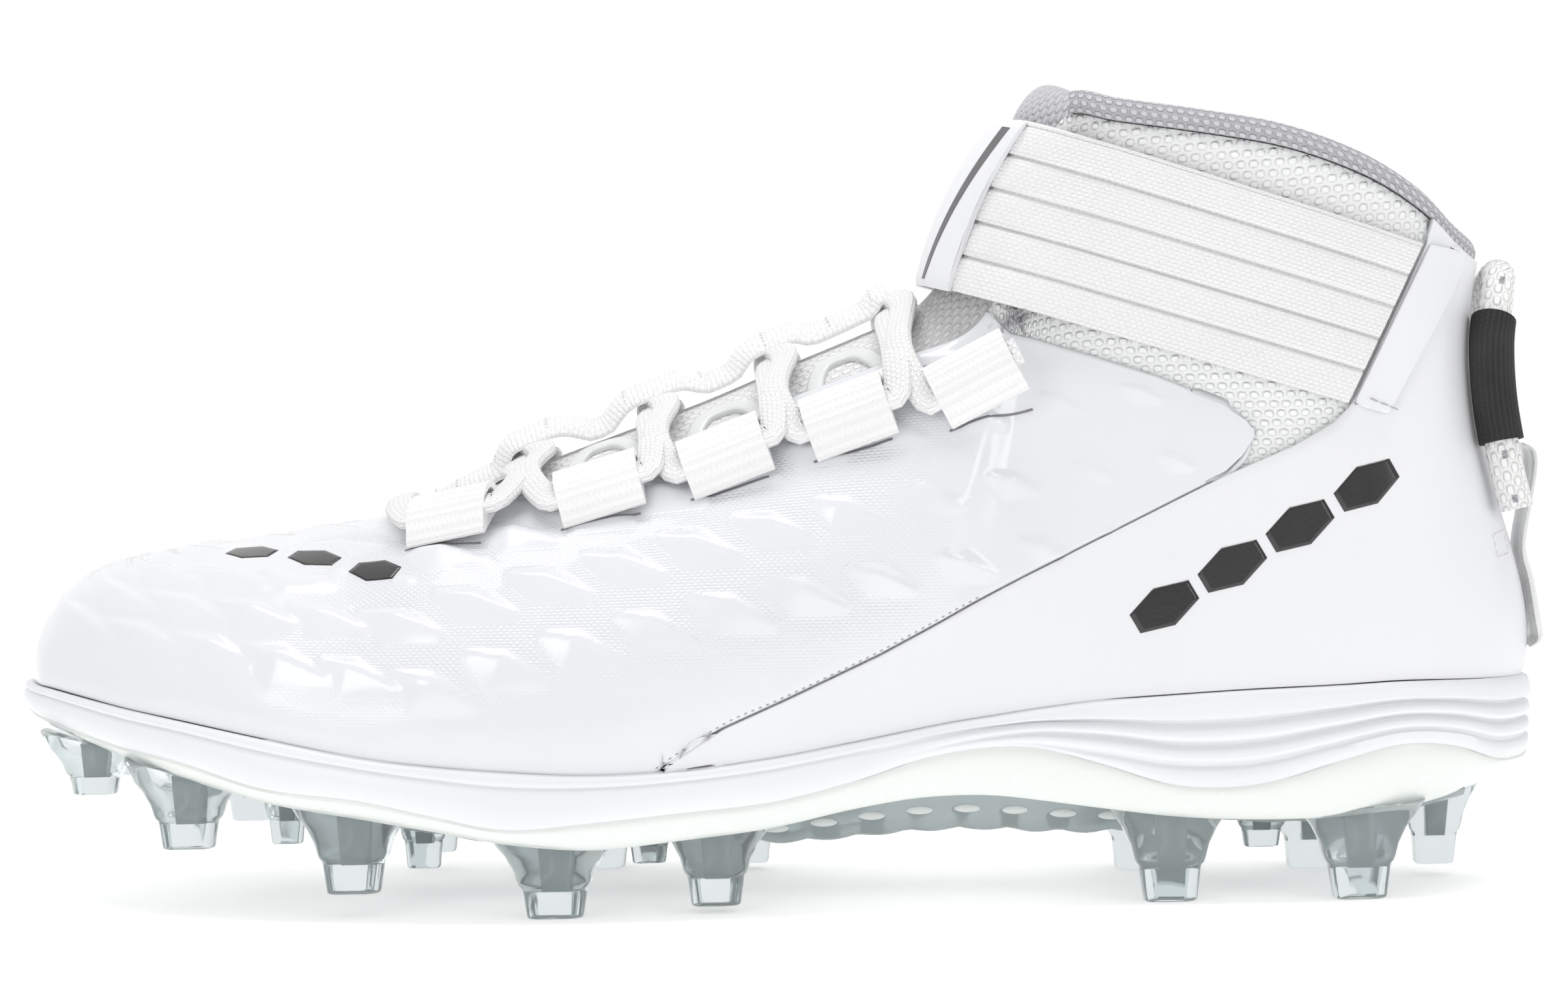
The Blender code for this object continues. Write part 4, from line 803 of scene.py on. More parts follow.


# darker sets how strong the painted shade in each cloth's gaps is: 0.93 unless given, 0.6 on the spacer mesh
white, grey = (0.87, 0.87, 0.87), (0.56, 0.56, 0.59)
finishes["webbing"] = clothFinish("webbing", white, (0.0011, 0.0006), 0.00009, lines=("v", 0.0008))
finishes["ribbon"] = clothFinish("ribbonWeave", white, (0.0007, 0.0012), 0.00012, lines=("u", 0.0010))
finishes["lace"] = clothFinish("laceKnit", (0.88, 0.88, 0.88), (0.0012, 0.0010), 0.00016)
finishes["elastic"] = clothFinish("elasticWeave", (0.86, 0.86, 0.86), (0.0013, 0.0008), 0.00012)
finishes["lining"] = clothFinish("spacerMesh", grey, (0.0019, 0.0015), 0.0004, darker=0.6)
finishes["tongue"] = clothFinish(
    "tongueMesh", (0.88, 0.88, 0.88), (0.0024, 0.0018), 0.0003, darker=0.86, topColour=(grey, 0.146),
)
finishes["rope"] = clothFinish(
    "ropeBraid", (0.87, 0.87, 0.86), (0.0026, 0.0019), 0.0004, flecks=(0.36, 0.37, 0.39),
)
finishes["sleeve"] = clothFinish(
    "wovenSleeve", (0.012, 0.010, 0.0095), (0.0009, 0.0008), 0.00015, lines=("v", 0.0009), sheen=0.0,
)
finishes["thread"] = plainFinish("thread", (0.78, 0.78, 0.78), 0.7)
finishes["greyThread"] = plainFinish("greyThread", (0.42, 0.42, 0.44), 0.7)
finishes["stripe"] = plainFinish("tabStripe", (0.13, 0.13, 0.135), 0.45)
finishes["oval"] = plainFinish("paleOvals", (0.80, 0.83, 0.82), 0.3)
# painted shade: the dark strips laid along the lace loops' lower edges
finishes["slot"] = plainFinish("slotShade", (0.22, 0.22, 0.24), 0.6)
finishes["accent"] = plainFinish(
    "blackAccent", (0.022, 0.020, 0.020), 0.22, 0.7, Coat_Weight=0.4, Coat_Roughness=0.1,
)
finishes["tab"] = plainFinish("heelTabMoulded", (0.76, 0.77, 0.77), 0.28, 0.95)
finishes["insole"] = plainFinish("insoleCloth", (0.40, 0.40, 0.43), 0.85, 0.85, 0.002, 0.0002)


def backToMm(p):
    # from the frame's metres to the form's millimetres
    return p / mm - Vector(shoe["shift"])


def pointAt(k, v):
    return onProfile(profileAt(k % stationCount), v)


def treeAt(offset, columns=216, rows=24):
    # the bootie's surface at an offset, for laying other pieces on it
    bm = bmesh.new()
    lines = [profileAt(i * stationCount / columns % stationCount) for i in range(columns)]
    gridInto(bm, columns, rows, lambda i, j: onProfile(lines[i % columns], j / rows))
    faceOut(bm, 0.01)
    for v in bm.verts:
        v.co += v.normal * offset * mm
    return BVHTree.FromBMesh(bm)


def cast(tree, start, direction, reach=1000):
    # point in millimetres and normal where a ray meets a surface
    hit, normal, _, _ = tree.ray_cast(inFrame(start), direction, reach * mm)
    return (backToMm(hit), normal) if hit is not None else (None, None)


def castSide(tree, x, z, side):
    # where a surface is met from one side
    return cast(tree, (x, side * 200, z), Vector((0, -side, 0)))


def castHeel(y, z):
    # where the rear overlay is met from behind
    return cast(quarterTree, (shoe["length"] + 60, y, z), Vector((-1, 0, 0)))


insideTree, ankleTree = treeAt(-shoe["wall"]), treeAt(shoe["gap"])
skinTree = treeAt(shoe["gap"] + shoe["skinWall"])
quarterTree = treeAt(shoe["gap"] + shoe["quarterWall"])
patchShape = sideShape(patchLine)
for sideName, ends in (("Lateral", (14.0, 26.9)), ("Medial", (27.1, 40.0))):
    base = 2 * shoe["gap"] + shoe["quarterWall"]
    stations = [k for k in evenStations(*ends, 140, 0.7) if spanAt(profileAt(k), patchShape)]
    patch = trimmedSheet(
        "strapPatch" + sideName, stations, patchShape, 50, base + shoe["skinWall"], 0.3, finishes["quarter"],
        shoe["skinWall"],
    )
    dressed(patch, "matt_synthetic", "strap_patch_" + sideName.lower())
print("patches made")

# Midsole foam: share of the height from the feather edge down and how far in, at the heel and in front
foam = {
    "heel": (
        (0.0, 1.3), (0.03, 0.35), (0.12, -0.1), (0.22, -0.35), (0.27, -0.2), (0.29, 0.9), (0.33, 1.2),
        (0.36, 0.2), (0.45, -0.2), (0.50, 0.0), (0.52, 0.9), (0.56, 1.2), (0.59, 0.2), (0.68, 0.0),
        (0.72, 0.15), (0.74, 0.8), (0.78, 0.9), (0.81, 0.2), (0.92, 0.2), (1.0, 0.7),
    ),
    "front": (
        (0.0, 1.3), (0.03, 0.35), (0.12, 0.0), (0.20, 0.05), (0.24, 0.5), (0.28, 0.12), (0.36, -0.1),
        (0.48, -0.3), (0.56, -0.35), (0.64, -0.35), (0.70, -0.3), (0.74, -0.25), (0.78, -0.2),
        (0.82, -0.15), (0.86, -0.05), (0.90, 0.05), (0.94, 0.15), (0.97, 0.3), (0.985, 0.45), (1.0, 0.7),
    ),
    "ribStart": 0.46, "ribSlant": 0.20, "ribFade": 0.16,
}


def soleRing(insetAt, heightAt, count=324):
    # a level line round the sole: how far in from its outline and how high, at each station
    ring = []
    for i in range(count):
        k = i * stationCount / count
        spot, _ = outlineAt(k, insetAt(k))
        ring.append(Vector((spot.x, spot.y, heightAt(k))))
    return ring


def foamRing(rear, fore):
    # one level of the foam, where the heel's ribs fade into the smooth front
    start = foam["ribStart"] + foam["ribSlant"] * rear[0]

    def mixed(k, column):
        w = smooth(start, start + foam["ribFade"], around(outlineX, k) / shoe["length"])
        return rear[column] * w + fore[column] * (1 - w)

    def heightAt(k):
        share = mixed(k, 0)
        return around(feather, k) * (1 - share) + around(split, k) * share

    return soleRing(lambda k: mixed(k, 1), heightAt)


rings = [foamRing(rear, fore) for rear, fore in zip(foam["heel"], foam["front"])]
rings.append(soleRing(lambda k: 2.7, lambda k: around(split, k) + 0.3))
rings.append(soleRing(lambda k: around(tuck, k) + 2.9, lambda k: around(low, k) + 2.7))
madeFrom("midsoleFoam", rings, finishes["foam"], "midsole_foam", "midsole", smoothAngle=60)
linerEdge = shoe["inset"] + shoe["wall"] + 1.0
madeFrom("sockLiner", [
    soleRing(lambda k: linerEdge + inward, lambda k: around(feather, k) + height, 216)
    for inward, height in ((0.3, 0.3), (0.0, 3.6), (0.7, 4.2), (3.0, 3.7))
], finishes["insole"], "lining", "insole")
print("midsole and insole made")

# Clear plate: its side band, studs, spines and the pale ovals of the arch
plate = {
    "band": (  # share of the tuck, how far in, share of the lip's height, how far up
        (1, 2.6, 0, 2.4), (0, 2.4, 1, -0.1), (0, 1.9, 1, 0.0), (0, 0.8, 1, 0.02), (0, 0.5, 1, -0.5),
        (0.10, 0.42, 0.72, 0), (0.30, 0.5, 0.45, 0), (0.66, 0.3, 0.2, 0), (1, 0.0, 0, 0.7),
        (1, 0.9, 0, 0.1), (1, 2.4, 0, 0),
    ),
    "sink": 1.4, "tip": (10.0, 8.0), "sides": 28, "lean": 0.10, "widest": 1.8, "pinch": 0.22,
    "rings": (
        (0.0, 0.90), (0.012, 0.97), (0.04, 1.0), (0.34, 1.13), (0.38, 1.17), (0.41, 1.27), (0.46, 1.33),
        (0.60, 1.46), (0.78, 1.75), (0.90, 2.05), (1.0, 2.45),
    ),
    "core": ((-1, -0.8), (-0.8, -1), (0.8, -1), (1, -0.8), (1, 0.8), (0.8, 1), (-0.8, 1), (-1, 0.8)),
    "coreFrom": 0.3,
    "studs": (
        (0.0560, -0.165, 0.86, 0.520), (0.1220, -0.285, 1.00, 0.298), (0.2300, -0.355, 1.03, 0.108),
        (0.3590, -0.395, 1.08, 0.000), (0.4610, -0.352, 0.95, 0.034), (0.7540, -0.250, 1.05, 0.000),
        (0.8770, -0.240, 1.05, 0.000), (0.0670, 0.225, 0.80, 0.510), (0.1400, 0.315, 0.92, 0.260),
        (0.2620, 0.350, 0.95, 0.085), (0.3770, 0.352, 1.05, 0.000), (0.4780, 0.290, 0.95, 0.034),
        (0.7480, 0.245, 1.05, 0.000), (0.8660, 0.240, 1.05, 0.000), (0.9410, 0.085, 0.80, 0.055),
        (0.1740, 0.010, 0.62, 0.230), (0.2650, 0.000, 0.66, 0.112), (0.4150, -0.020, 0.66, 0.130),
        (0.8220, 0.000, 0.70, 0.170),
    ),
    "spines": ((0.42, 0.80, 9.0, 22.0), (0.115, 0.46, 4.6, 30.0), (0.74, 0.95, 2.4, 34.0)),
    "spineShape": (
        (-1, 0), (-0.86, 0.7), (-0.72, 0.95), (-0.60, 1), (0.60, 1), (0.72, 0.95), (0.86, 0.7), (1, 0),
    ),
    "oval": (2.7, 0.5, 0.85), "archDepth": 8,
}


def plateLow(x):
    # height of the sole's underside at a place along the shoe
    k = 0
    while k < shoe["heelRow"] - 1 and outlineX[k + 1] < x:
        k += 1
    t = min(max((x - outlineX[k]) / (outlineX[k + 1] - outlineX[k]), 0.0), 1.0)
    return around(low, k + t)


def bandRing(tuckShare, inward, lipShare, up):
    # one level of the plate's side
    return soleRing(
        lambda k: tuckShare * around(tuck, k) + inward,
        lambda k: blend(around(low, k), around(split, k), lipShare) + up,
    )


def studRings(share, across, size, tip):
    # one stud, wider and squarer towards the plate, and the core that shows inside it
    x, y = share * shoe["length"], across * shoe["ballWidth"]
    root, foot = plateLow(x) + plate["sink"], tip * shoe["heelStack"]
    slant = -plate["lean"] * (root - foot) * (1 if y < 0 else -1) * min(abs(y) / 10, 1)
    halfLong, halfWide = (reach * size / 2 for reach in plate["tip"])
    outer, core = [], []
    for up, grow in plate["rings"]:
        ring = []
        for i in range(plate["sides"]):
            a = 2 * math.pi * i / plate["sides"]
            c, s = math.cos(a), math.sin(a)
            aside = halfWide * min(grow, plate["widest"]) * squared(s) * (1 - plate["pinch"] * c)
            p = Vector((x + halfLong * grow * squared(c), y - slant * up + aside, foot + (root - foot) * up))
            if up == 1.0:
                p.z = plateLow(p.x) + plate["sink"]
            ring.append(p)
        outer.append(ring)
        if up > plate["coreFrom"]:
            half, deep = halfLong * (0.364 + 0.26 * up), halfWide * 0.6
            z = foot + (root - foot) * min(up, 0.97)
            core.append([Vector((x + a * half, y - slant * up + b * deep, z)) for a, b in plate["core"]])
    return outer, core


def spineRings(start, end, deepest, width, steps=72):
    # a ribbed spine under the plate, with pale ovals on the sides of the one under the arch
    rings = []
    for r in range(steps + 1):
        t = r / steps
        x = blend(start, end, t) * shoe["length"]
        top = plateLow(x) + plate["sink"]
        depth = deepest * math.sin(math.pi * t) ** 0.8 + plate["sink"] * 1.4
        depth += 0.7 * abs(math.sin(math.pi * t * (end - start) * 30)) * min(1, deepest / plate["archDepth"])
        half = width / 2 * (0.75 + 0.25 * abs(2 * t - 1))
        rings.append([Vector((x, y * half, top - d * depth)) for y, d in plate["spineShape"]])
        if deepest > plate["archDepth"] and r % 6 == 3 and 8 < r < 64:
            for side in (-1, 1):
                place = Matrix.Translation(inFrame((x, side * half * 0.88, top - 0.62 * depth)))
                place = place @ Matrix.Diagonal((*(reach * mm for reach in plate["oval"]), 1))
                bmesh.ops.create_uvsphere(ovalMesh, u_segments=16, v_segments=8, radius=1.0, matrix=place)
    return rings


bandRings = [bandRing(*row) for row in plate["band"]]
madeFrom("plateBand", bandRings, finishes["band"], "clear_plate", "outsole_plate", smoothAngle=60)
studMesh, coreMesh, trussMesh, ovalMesh = (bmesh.new() for _ in range(4))
for row in plate["studs"]:
    outer, core = studRings(*row)
    sweepInto(studMesh, outer)
    sweepInto(coreMesh, core)
for row in plate["spines"]:
    sweepInto(trussMesh, spineRings(*row))
for name, bm, look, angle in (
    ("plateStuds", studMesh, "stud", 42), ("studCores", coreMesh, "core", 42),
    ("plateTruss", trussMesh, "truss", 42), ("trussOvals", ovalMesh, "oval", 60),
):
    dressed(finished(name, bm, finishes[look], smoothAngle=angle), "clear_plate", "outsole_plate")
print("plate made")

# Elastic strap round the ankle and its smooth front tab
strap = {
    "top": ((0.9185, 0.8229), (0.6519, 0.9921)), "low": ((0.8670, 0.6250), (0.6031, 0.7803)),
    "sweep": (0.070, 0.074), "front": (-0.0084, -0.0050), "bulge": 0.0067, "bend": 3.2,
    "thick": 2.0, "tabThick": 1.2, "tabKeep": 11, "ribs": 5, "groove": 0.9, "start": 0.4, "pulls": 90,
    "inRib": (0, 0.03, 0.06, 0.10, 0.25, 0.5, 0.75, 0.90, 0.94, 0.97, 1.0),
    "atEdges": {0.0045, 0.015, 0.025, 0.9955},
}
stripe = {"from": 2.8, "shift": 4.0, "bend": 1.2, "half": (1.0, 0.5), "lift": 0.12, "sink": 0.3}


def strapLine(share, offset, side, steps=44, arcSteps=21):
    # one level of the band: along the ankle's side, then round its front to the middle
    (x0, z0), (x1, z1) = (
        (blend(a[0], b[0], share) * shoe["length"], blend(a[1], b[1], share) * shoe["collarHeight"])
        for a, b in zip(strap["top"], strap["low"])
    )
    ahead = blend(*strap["front"], share) + strap["bulge"] * 4 * share * (1 - share)
    front, turn = x1 - ahead * shoe["length"], x1 + blend(*strap["sweep"], share) * shoe["length"]
    begin = x0 + strap["start"]

    def sideAt(x, z):
        hit, _ = castSide(ankleTree, x, z, side)
        return abs(hit.y) if hit is not None else None

    points, y = [], 30.0
    for i in range(steps):
        x = blend(begin, turn, i / (steps - 1))
        z = z0 + (z1 - z0) * (x - x0) / (x1 - x0)
        y = (sideAt(x, z) or y - shoe["gap"] - offset) + shoe["gap"] + offset
        points.append(Vector((x, side * y, z)))
    reach = y
    for i in range(1, arcSteps + 1):
        a = math.pi / 2 * i / arcSteps
        round0 = math.sin(a) ** (2 / strap["bend"])
        x = turn - (turn - front + offset) * round0
        z = z0 + (z1 - z0) * (turn - x0 - (turn - front) * round0) / (x1 - x0)
        y = reach * math.cos(a) ** (2 / strap["bend"]) if i < arcSteps else 0.0
        beside = sideAt(x, z)
        if beside is not None and i < arcSteps:
            y = max(y, beside + 3 * shoe["gap"] + offset)
        points.append(Vector((x, side * y, z)))
    for _ in range(strap["pulls"]):
        # pulled tight: hollows straighten, and the band never sinks into the ankle
        widths = [p.y for p in points]
        for i in range(4, steps + 4):
            points[i].y = max(abs(widths[i]), abs(widths[i - 1] + 2 * widths[i] + widths[i + 1]) / 4) * side
    return points


def strapBand(levels, reliefAt, inner, outer, keep=None):
    # sections across the band, from one end round the front to the other, or near the middle only
    loops = []
    for n, share in enumerate(levels + levels[::-3]):
        offset = outer + reliefAt(share) if n < len(levels) else inner
        line = strapLine(share, offset, -1) + strapLine(share, offset, 1)[-2::-1]
        if keep is not None:
            middle = len(line) // 2
            line = line[middle - keep: middle + keep + 1]
        loops.append(line)
    return [[line[i] for line in loops] for i in range(len(loops[0]))]


def ribRelief(share):
    # height of the elastic's ribs and the grooves between them
    t = share * strap["ribs"] % 1.0
    near = min(t, 1 - t) if 0.05 < share < 0.95 else 0.5
    if min(share, 1 - share) < 0.004:
        return -0.5
    fold = 0.4 * math.exp(-((share - 0.020) / 0.004) ** 2)
    return 0.3 * math.sin(math.pi * t) ** 0.5 - strap["groove"] * (1 - smooth(0.01, 0.075, near)) - fold


strapLevels = {round((r + s) / strap["ribs"], 5) for r in range(strap["ribs"]) for s in strap["inRib"]}
strapLevels = sorted(strapLevels | strap["atEdges"])
bandRings = strapBand(strapLevels, ribRelief, shoe["gap"], shoe["gap"] + strap["thick"])
madeFrom("ankleStrap", bandRings, finishes["elastic"], "elastic", "strap")
under = 2 * shoe["gap"] + strap["thick"]
tabRings = strapBand(
    [i / 24 for i in range(25)], lambda s: -0.4 * (min(s, 1 - s) < 0.02), under, under + strap["tabThick"],
    keep=strap["tabKeep"],
)
madeFrom("strapTab", tabRings, finishes["quarter"], "matt_synthetic", "strap_front")
stripeRings = []
for n in range(1, 24):
    s = n / 24
    at, half = stripe["from"] + stripe["shift"] * s ** stripe["bend"], blend(*stripe["half"], s)
    line = [ring[n] for ring in tabRings]
    first, last = (along(line, (at + w) / (len(line) - 1)) for w in (-half, half))
    out = Vector((-0.75, -0.65, 0.1)).normalized()
    up, down = out * stripe["lift"], out * stripe["sink"]
    stripeRings.append([first + up, last + up, last - down, first - down])
madeFrom("tabStripe", stripeRings, finishes["stripe"], "matt_synthetic", "strap_front")
print("strap made")

# Padded tongue
tongue = {
    "thick": 5.0, "lowCurl": 1.2, "ankleCurl": 2.7, "ankleFrom": 0.78, "columns": 120, "across": 28,
    "crowd": 1.3, "narrow": 0.30, "narrowFrom": 0.88,
    "corners": ((0.024, 2.4), (0.045, 9)), "cornersFrom": 0.72,
    "rows": (
        (0.222, 0.448, 0.11, 0.50, 1), (0.252, 0.4645, 0.15, 0.55, 1), (0.276, 0.49, 0.19, 0.70, 1),
        (0.30, 0.515, 0.205, 0.80, 1), (0.337, 0.546, 0.225, 0.85, 1), (0.397, 0.589, 0.235, 0.90, 1),
        (0.458, 0.633, 0.245, 1.00, 1), (0.512, 0.677, 0.248, 1.05, 1), (0.559, 0.714, 0.248, 1.10, 1),
        (0.592, 0.743, 0.235, 1.15, 1), (0.6155, 0.793, 0.215, 1.20, 1), (0.6215, 0.835, 0.205, 1.20, 0.9),
        (0.637, 0.905, 0.205, 1.30, 0.8), (0.658, 0.978, 0.205, 1.40, 0.5), (0.672, 1.035, 0.205, 1.40, 0.2),
    ),
}
tongueCentres = [
    Vector((row[0] * shoe["length"], 0, row[1] * shoe["collarHeight"])) for row in tongue["rows"]
]
tongueColumn = [[row[c] for row in tongue["rows"]] for c in range(5)]


def tongueLine(t):
    # middle of the tongue and the way out from it
    here = along(tongueCentres, t)
    tangent = (along(tongueCentres, min(t + 0.01, 1)) - along(tongueCentres, max(t - 0.01, 0))).normalized()
    here.y = ridgeY(here.x)
    return here, Vector((-tangent.z, 0, tangent.x * along(tongueColumn[4], t))).normalized()


tongueDrops, tongueCurls = [], []
for r, row in enumerate(tongue["rows"]):
    here, out = tongueLine(r / (len(tongue["rows"]) - 1))
    curl = (tongue["ankleCurl"] if row[1] > tongue["ankleFrom"] else tongue["lowCurl"]) / shoe["ballWidth"]
    drop = 0.0
    rooms = []
    for step in range(-24, 25):
        y = step / 24 * (row[2] * shoe["ballWidth"] + 1.0)
        hit, _ = cast(insideTree, here + Vector((0, y, 0)) - out * 40, out, 80)
        if hit is not None:
            rooms.append((y, (hit - here).dot(out) - 2.5 * shoe["gap"]))
    for y, room in rooms:
        if abs(y) < 8 and room < 0:
            drop = max(drop, -room)
    for y, room in rooms:
        if abs(y) >= 8:
            curl = max(curl, -(room + drop) / (y * y))
    tongueDrops.append(drop)
    tongueCurls.append(curl)
tongueDrops[-1] = tongueDrops[-2]
tongueCurls[-1] = tongueCurls[-2] * 1.3


def tongueFrame(t):
    # middle, way out, half width, curl and thickness of the tongue
    here, out = tongueLine(t)
    half, thick = along(tongueColumn[2], t) * shoe["ballWidth"], along(tongueColumn[3], t) * tongue["thick"]
    return here - out * along(tongueDrops, t), out, half, along(tongueCurls, t), thick


def tonguePoint(t, across, offset=0.0):
    here, out, half, curl, _ = tongueFrame(t)
    y = across * half
    return here + Vector((0, y, 0)) + out * (offset - curl * y * y)


rings = []
for r in range(tongue["columns"] + 1):
    t = 1 - (1 - r / tongue["columns"]) ** tongue["crowd"]
    thick = tongueFrame(t)[4]
    round0 = max(1 - min(t / 0.02, (1 - t) / 0.05, 1.0), 0.0)
    round0 = 1 - math.sqrt(1 - round0 * round0)
    outer, inner = [], []
    nearTop = max(0.0, (t - tongue["narrowFrom"]) / (1 - tongue["narrowFrom"]))
    narrow = math.sqrt(1 - tongue["narrow"] * nearTop ** 4)
    for i in range(tongue["across"] + 1):
        share = 2 * i / tongue["across"] - 1
        across, rim = share * narrow, abs(share) ** 6
        lower = sum(depth * abs(share) ** power for depth, power in tongue["corners"])
        level = t - lower * smooth(tongue["cornersFrom"], 1.0, t)
        outer.append(tonguePoint(level, across, -rim * thick * 0.25 - round0 * thick * 0.48))
        inner.append(tonguePoint(level, across * 0.96, -thick * (1 - 0.40 * rim) + round0 * thick * 0.48))
    rings.append(outer + inner[::-1])
tonguePad = madeFrom("tonguePad", rings, finishes["tongue"], "ankle_mesh", "tongue")
print("tongue made")

# Lace loops and laces
lacing = {
    "along": (0.306, 0.390, 0.467, 0.545, 0.621),
    "drop": 6.2, "loopLength": 14.4, "loopHeight": 10.6, "wall": 1.0, "slack": (1.4, 1.2), "lap": 1.0,
    "width": 5.6, "thick": 2.5, "over": 2.0, "inLoop": (-4.0, -0.6, 2.9), "edgeAt": 0.47, "shoulderAt": 0.36,
    "end": (-0.2, 1.35),
}
bar = {
    "ahead": 4.6, "lift": 0.6, "inLoop": (-4.0, -1.0, 1.6), "middle": 6, "out": (-0.3, 0, 1),
    "skin": (0.5, 15, 1.2),  # how far back, aside and up it lies on the skin
}
ribbon = {
    "width": 10.0, "thick": 1.2, "ahead": 7, "end": 0.586, "droop": 0.075, "roll": -0.24, "steps": 96,
    "bump": 0.042, "rise": (0.15, 0.70), "stand": 0.9,
}
loopHole = (lacing["width"] + lacing["slack"][0], lacing["thick"] + lacing["slack"][1])
loopDeep = loopHole[1] + 2 * lacing["wall"]


def stationAt(x, side):
    # station whose top edge lies that far along the shoe
    k = solved(lambda middle: around(topX, middle), x, float(shoe["throatRow"]), float(shoe["collarRow"] - 3))
    return k if side < 0 else stationCount - k


def loopFrame(share, side):
    # middle of a lace loop with its directions: to the rear, down the shoe's side, and outwards
    k = stationAt(share * shoe["length"], side)
    top, below = pointAt(k, 1.0), pointAt(k, 0.86)
    down = (below - top).normalized()
    forward = (topPoint(k - 0.3) - topPoint(k + 0.3)).normalized() * (1 if side < 0 else -1)
    out = down.cross(forward).normalized()
    if out.z < 0:
        out = -out
    rear = -forward
    down = (down - rear * down.dot(rear)).normalized()
    out = (out - rear * out.dot(rear) - down * out.dot(down)).normalized()
    middle = top + down * (lacing["drop"] + lacing["loopHeight"] / 2)
    clear, far = [], 20
    for step in (-0.5, 0, 0.5):
        for fallen in (-0.45, 0, 0.45):
            start = middle + rear * lacing["loopLength"] * step + out * far
            start += down * lacing["loopHeight"] * fallen
            hit, _ = cast(skinTree, start, -out)
            if hit is not None:
                clear.append(far - (start - hit).length)
    return middle + out * (max(clear) + shoe["gap"] * 1.3 + loopDeep / 2), rear, down, out


def flatCord(path, outs, width, thick, sides=14, square=0.6, droop=0.0, roll=0.0):
    # rings of a flat cord along a path, which may droop to its sides or roll to one
    rings = []
    for i, here in enumerate(path):
        tangent = (path[min(i + 1, len(path) - 1)] - path[max(i - 1, 0)]).normalized()
        out = (outs[i] - tangent * outs[i].dot(tangent)).normalized()
        across = tangent.cross(out)
        ring = []
        for s in range(sides):
            a = 2 * math.pi * (s + 0.5) / sides
            side, high = width / 2 * squared(math.cos(a), square), squared(math.sin(a), square)
            ring.append(here + across * side + out * (thick / 2 * high - droop * side * side + roll * side))
        rings.append(ring)
    return rings


def tongueShare(x):
    # share of the tongue's length at a place along the shoe
    return solved(lambda t: tongueFrame(t)[0].x, x, 0.0, 1.0)


def overEdge(x, side, lift):
    # a place just over the throat's edge
    k = stationAt(x, side)
    top = pointAt(k, 1.0)
    away = (pointAt(k, 0.9) - top).cross(topPoint(k + 0.2) - topPoint(k - 0.2))
    away = away.normalized() * (1 if away.z > 0 else -1)
    return top + away * (2 * shoe["gap"] + shoe["skinWall"] + lacing["thick"] / 2 + lift)


loops = {(n, side): loopFrame(share, side) for n, share in enumerate(lacing["along"]) for side in (-1, 1)}
mouth = lacing["loopLength"] / 2


def smoothPath(knots, count, ends, middleOut, turnFrom=0.20, turnTo=0.36):
    # a curve through knots, and the way its flat side faces all along
    path = [along(knots, i / count) for i in range(count + 1)]
    outs = []
    for i in range(count + 1):
        s = i / count
        turn = smooth(turnFrom, turnTo, min(s, 1 - s))
        outs.append((ends[0] if s < 0.5 else ends[1]) * (1 - turn) + middleOut * turn)
    return path, outs


def strandPath(n, side, lift):
    # one stretch of lace, from a loop over the tongue to the next loop across
    start, rear, downA, outA = loops[n, side]
    end, rearB, downB, outB = loops[n + 1, -side]
    ahead = lacing["loopHeight"] / 4 * (downA.x + downB.x)
    x0, x1 = (start + rear * mouth).x - ahead, (end - rearB * mouth).x - ahead
    middleX = (x0 + x1) / 2
    height = 2 * shoe["gap"] + lacing["thick"] / 2 + lift

    def overTongue(share, more):
        t = tongueShare(middleX + share * (x1 - x0) * 0.5)
        return tonguePoint(t, share * -side, height + more)

    edgeLift, shoulderLift = 0.9 + lift * 0.2, 0.5 - lift * 0.4
    knots = [start + rear * (mouth + step) for step in lacing["inLoop"]]
    knots += [
        overEdge(blend(x0, x1, lacing["edgeAt"]), side, edgeLift),
        overTongue(-lacing["shoulderAt"], shoulderLift),
        overTongue(0.0, 0.3),
        overTongue(lacing["shoulderAt"], shoulderLift),
        overEdge(blend(x0, x1, 1 - lacing["edgeAt"]), -side, edgeLift),
    ]
    knots += [end - rearB * (mouth + step) for step in reversed(lacing["inLoop"])]
    return smoothPath(knots, 40, (outA, outB), tongueFrame(tongueShare(middleX))[1])


for n in range(4):
    node = "lace_cross_%d" % (n + 1)
    for side, lift, word in ((-1, 0.0, "Under"), (1, lacing["over"], "Over")):
        strand = flatCord(*strandPath(n, side, lift), lacing["width"], lacing["thick"])
        madeFrom("laceCross%s%d" % (word, n + 1), strand, finishes["lace"], "webbing", node)
frontX = (loops[0, -1][0] - loops[0, -1][1] * mouth).x - bar["ahead"]
frontZ = topPoint(stationAt(frontX, -1)).z + shoe["skinWall"] + 2 * shoe["gap"] + lacing["thick"] / 2
frontZ += bar["lift"]


def onSkin(x, y, lift):
    # a place on the front skin, seen from above
    hit, _ = cast(skinTree, (x, y, 200.0), Vector((0, 0, -1)))
    return hit + Vector((0, 0, shoe["gap"] + lacing["thick"] / 2 + lift))


def barKnots(side):
    # from inside the first loop of one side to near the middle of the bar
    middle, rear, _, _ = loops[0, side]
    back, aside, lift = bar["skin"]
    knots = [middle - rear * (mouth + step) for step in bar["inLoop"]]
    knots.append(onSkin(frontX + back, ridgeY(frontX) + side * aside, lift))
    knots.append(Vector((frontX, ridgeY(frontX) + side * bar["middle"], frontZ)))
    return knots


def loopRing(spot, down, out, tall, thick, tuckIn, sides=40):
    # a rounded square across a loop, whose lower edge tucks in to the shoe
    ring = []
    for s in range(sides):
        a = 2 * math.pi * (s + 0.5) / sides
        c, d = squared(math.cos(a)), squared(math.sin(a))
        lower = max(0.0, c + 0.15) / 1.15 * tuckIn
        fallen = c * tall / 2 + lower ** 2 * 1.3
        flat = d * (1 - 0.80 * lower ** 1.5) - 0.95 * lower ** 1.8
        ring.append(spot + down * fallen + out * thick / 2 * flat)
    return ring


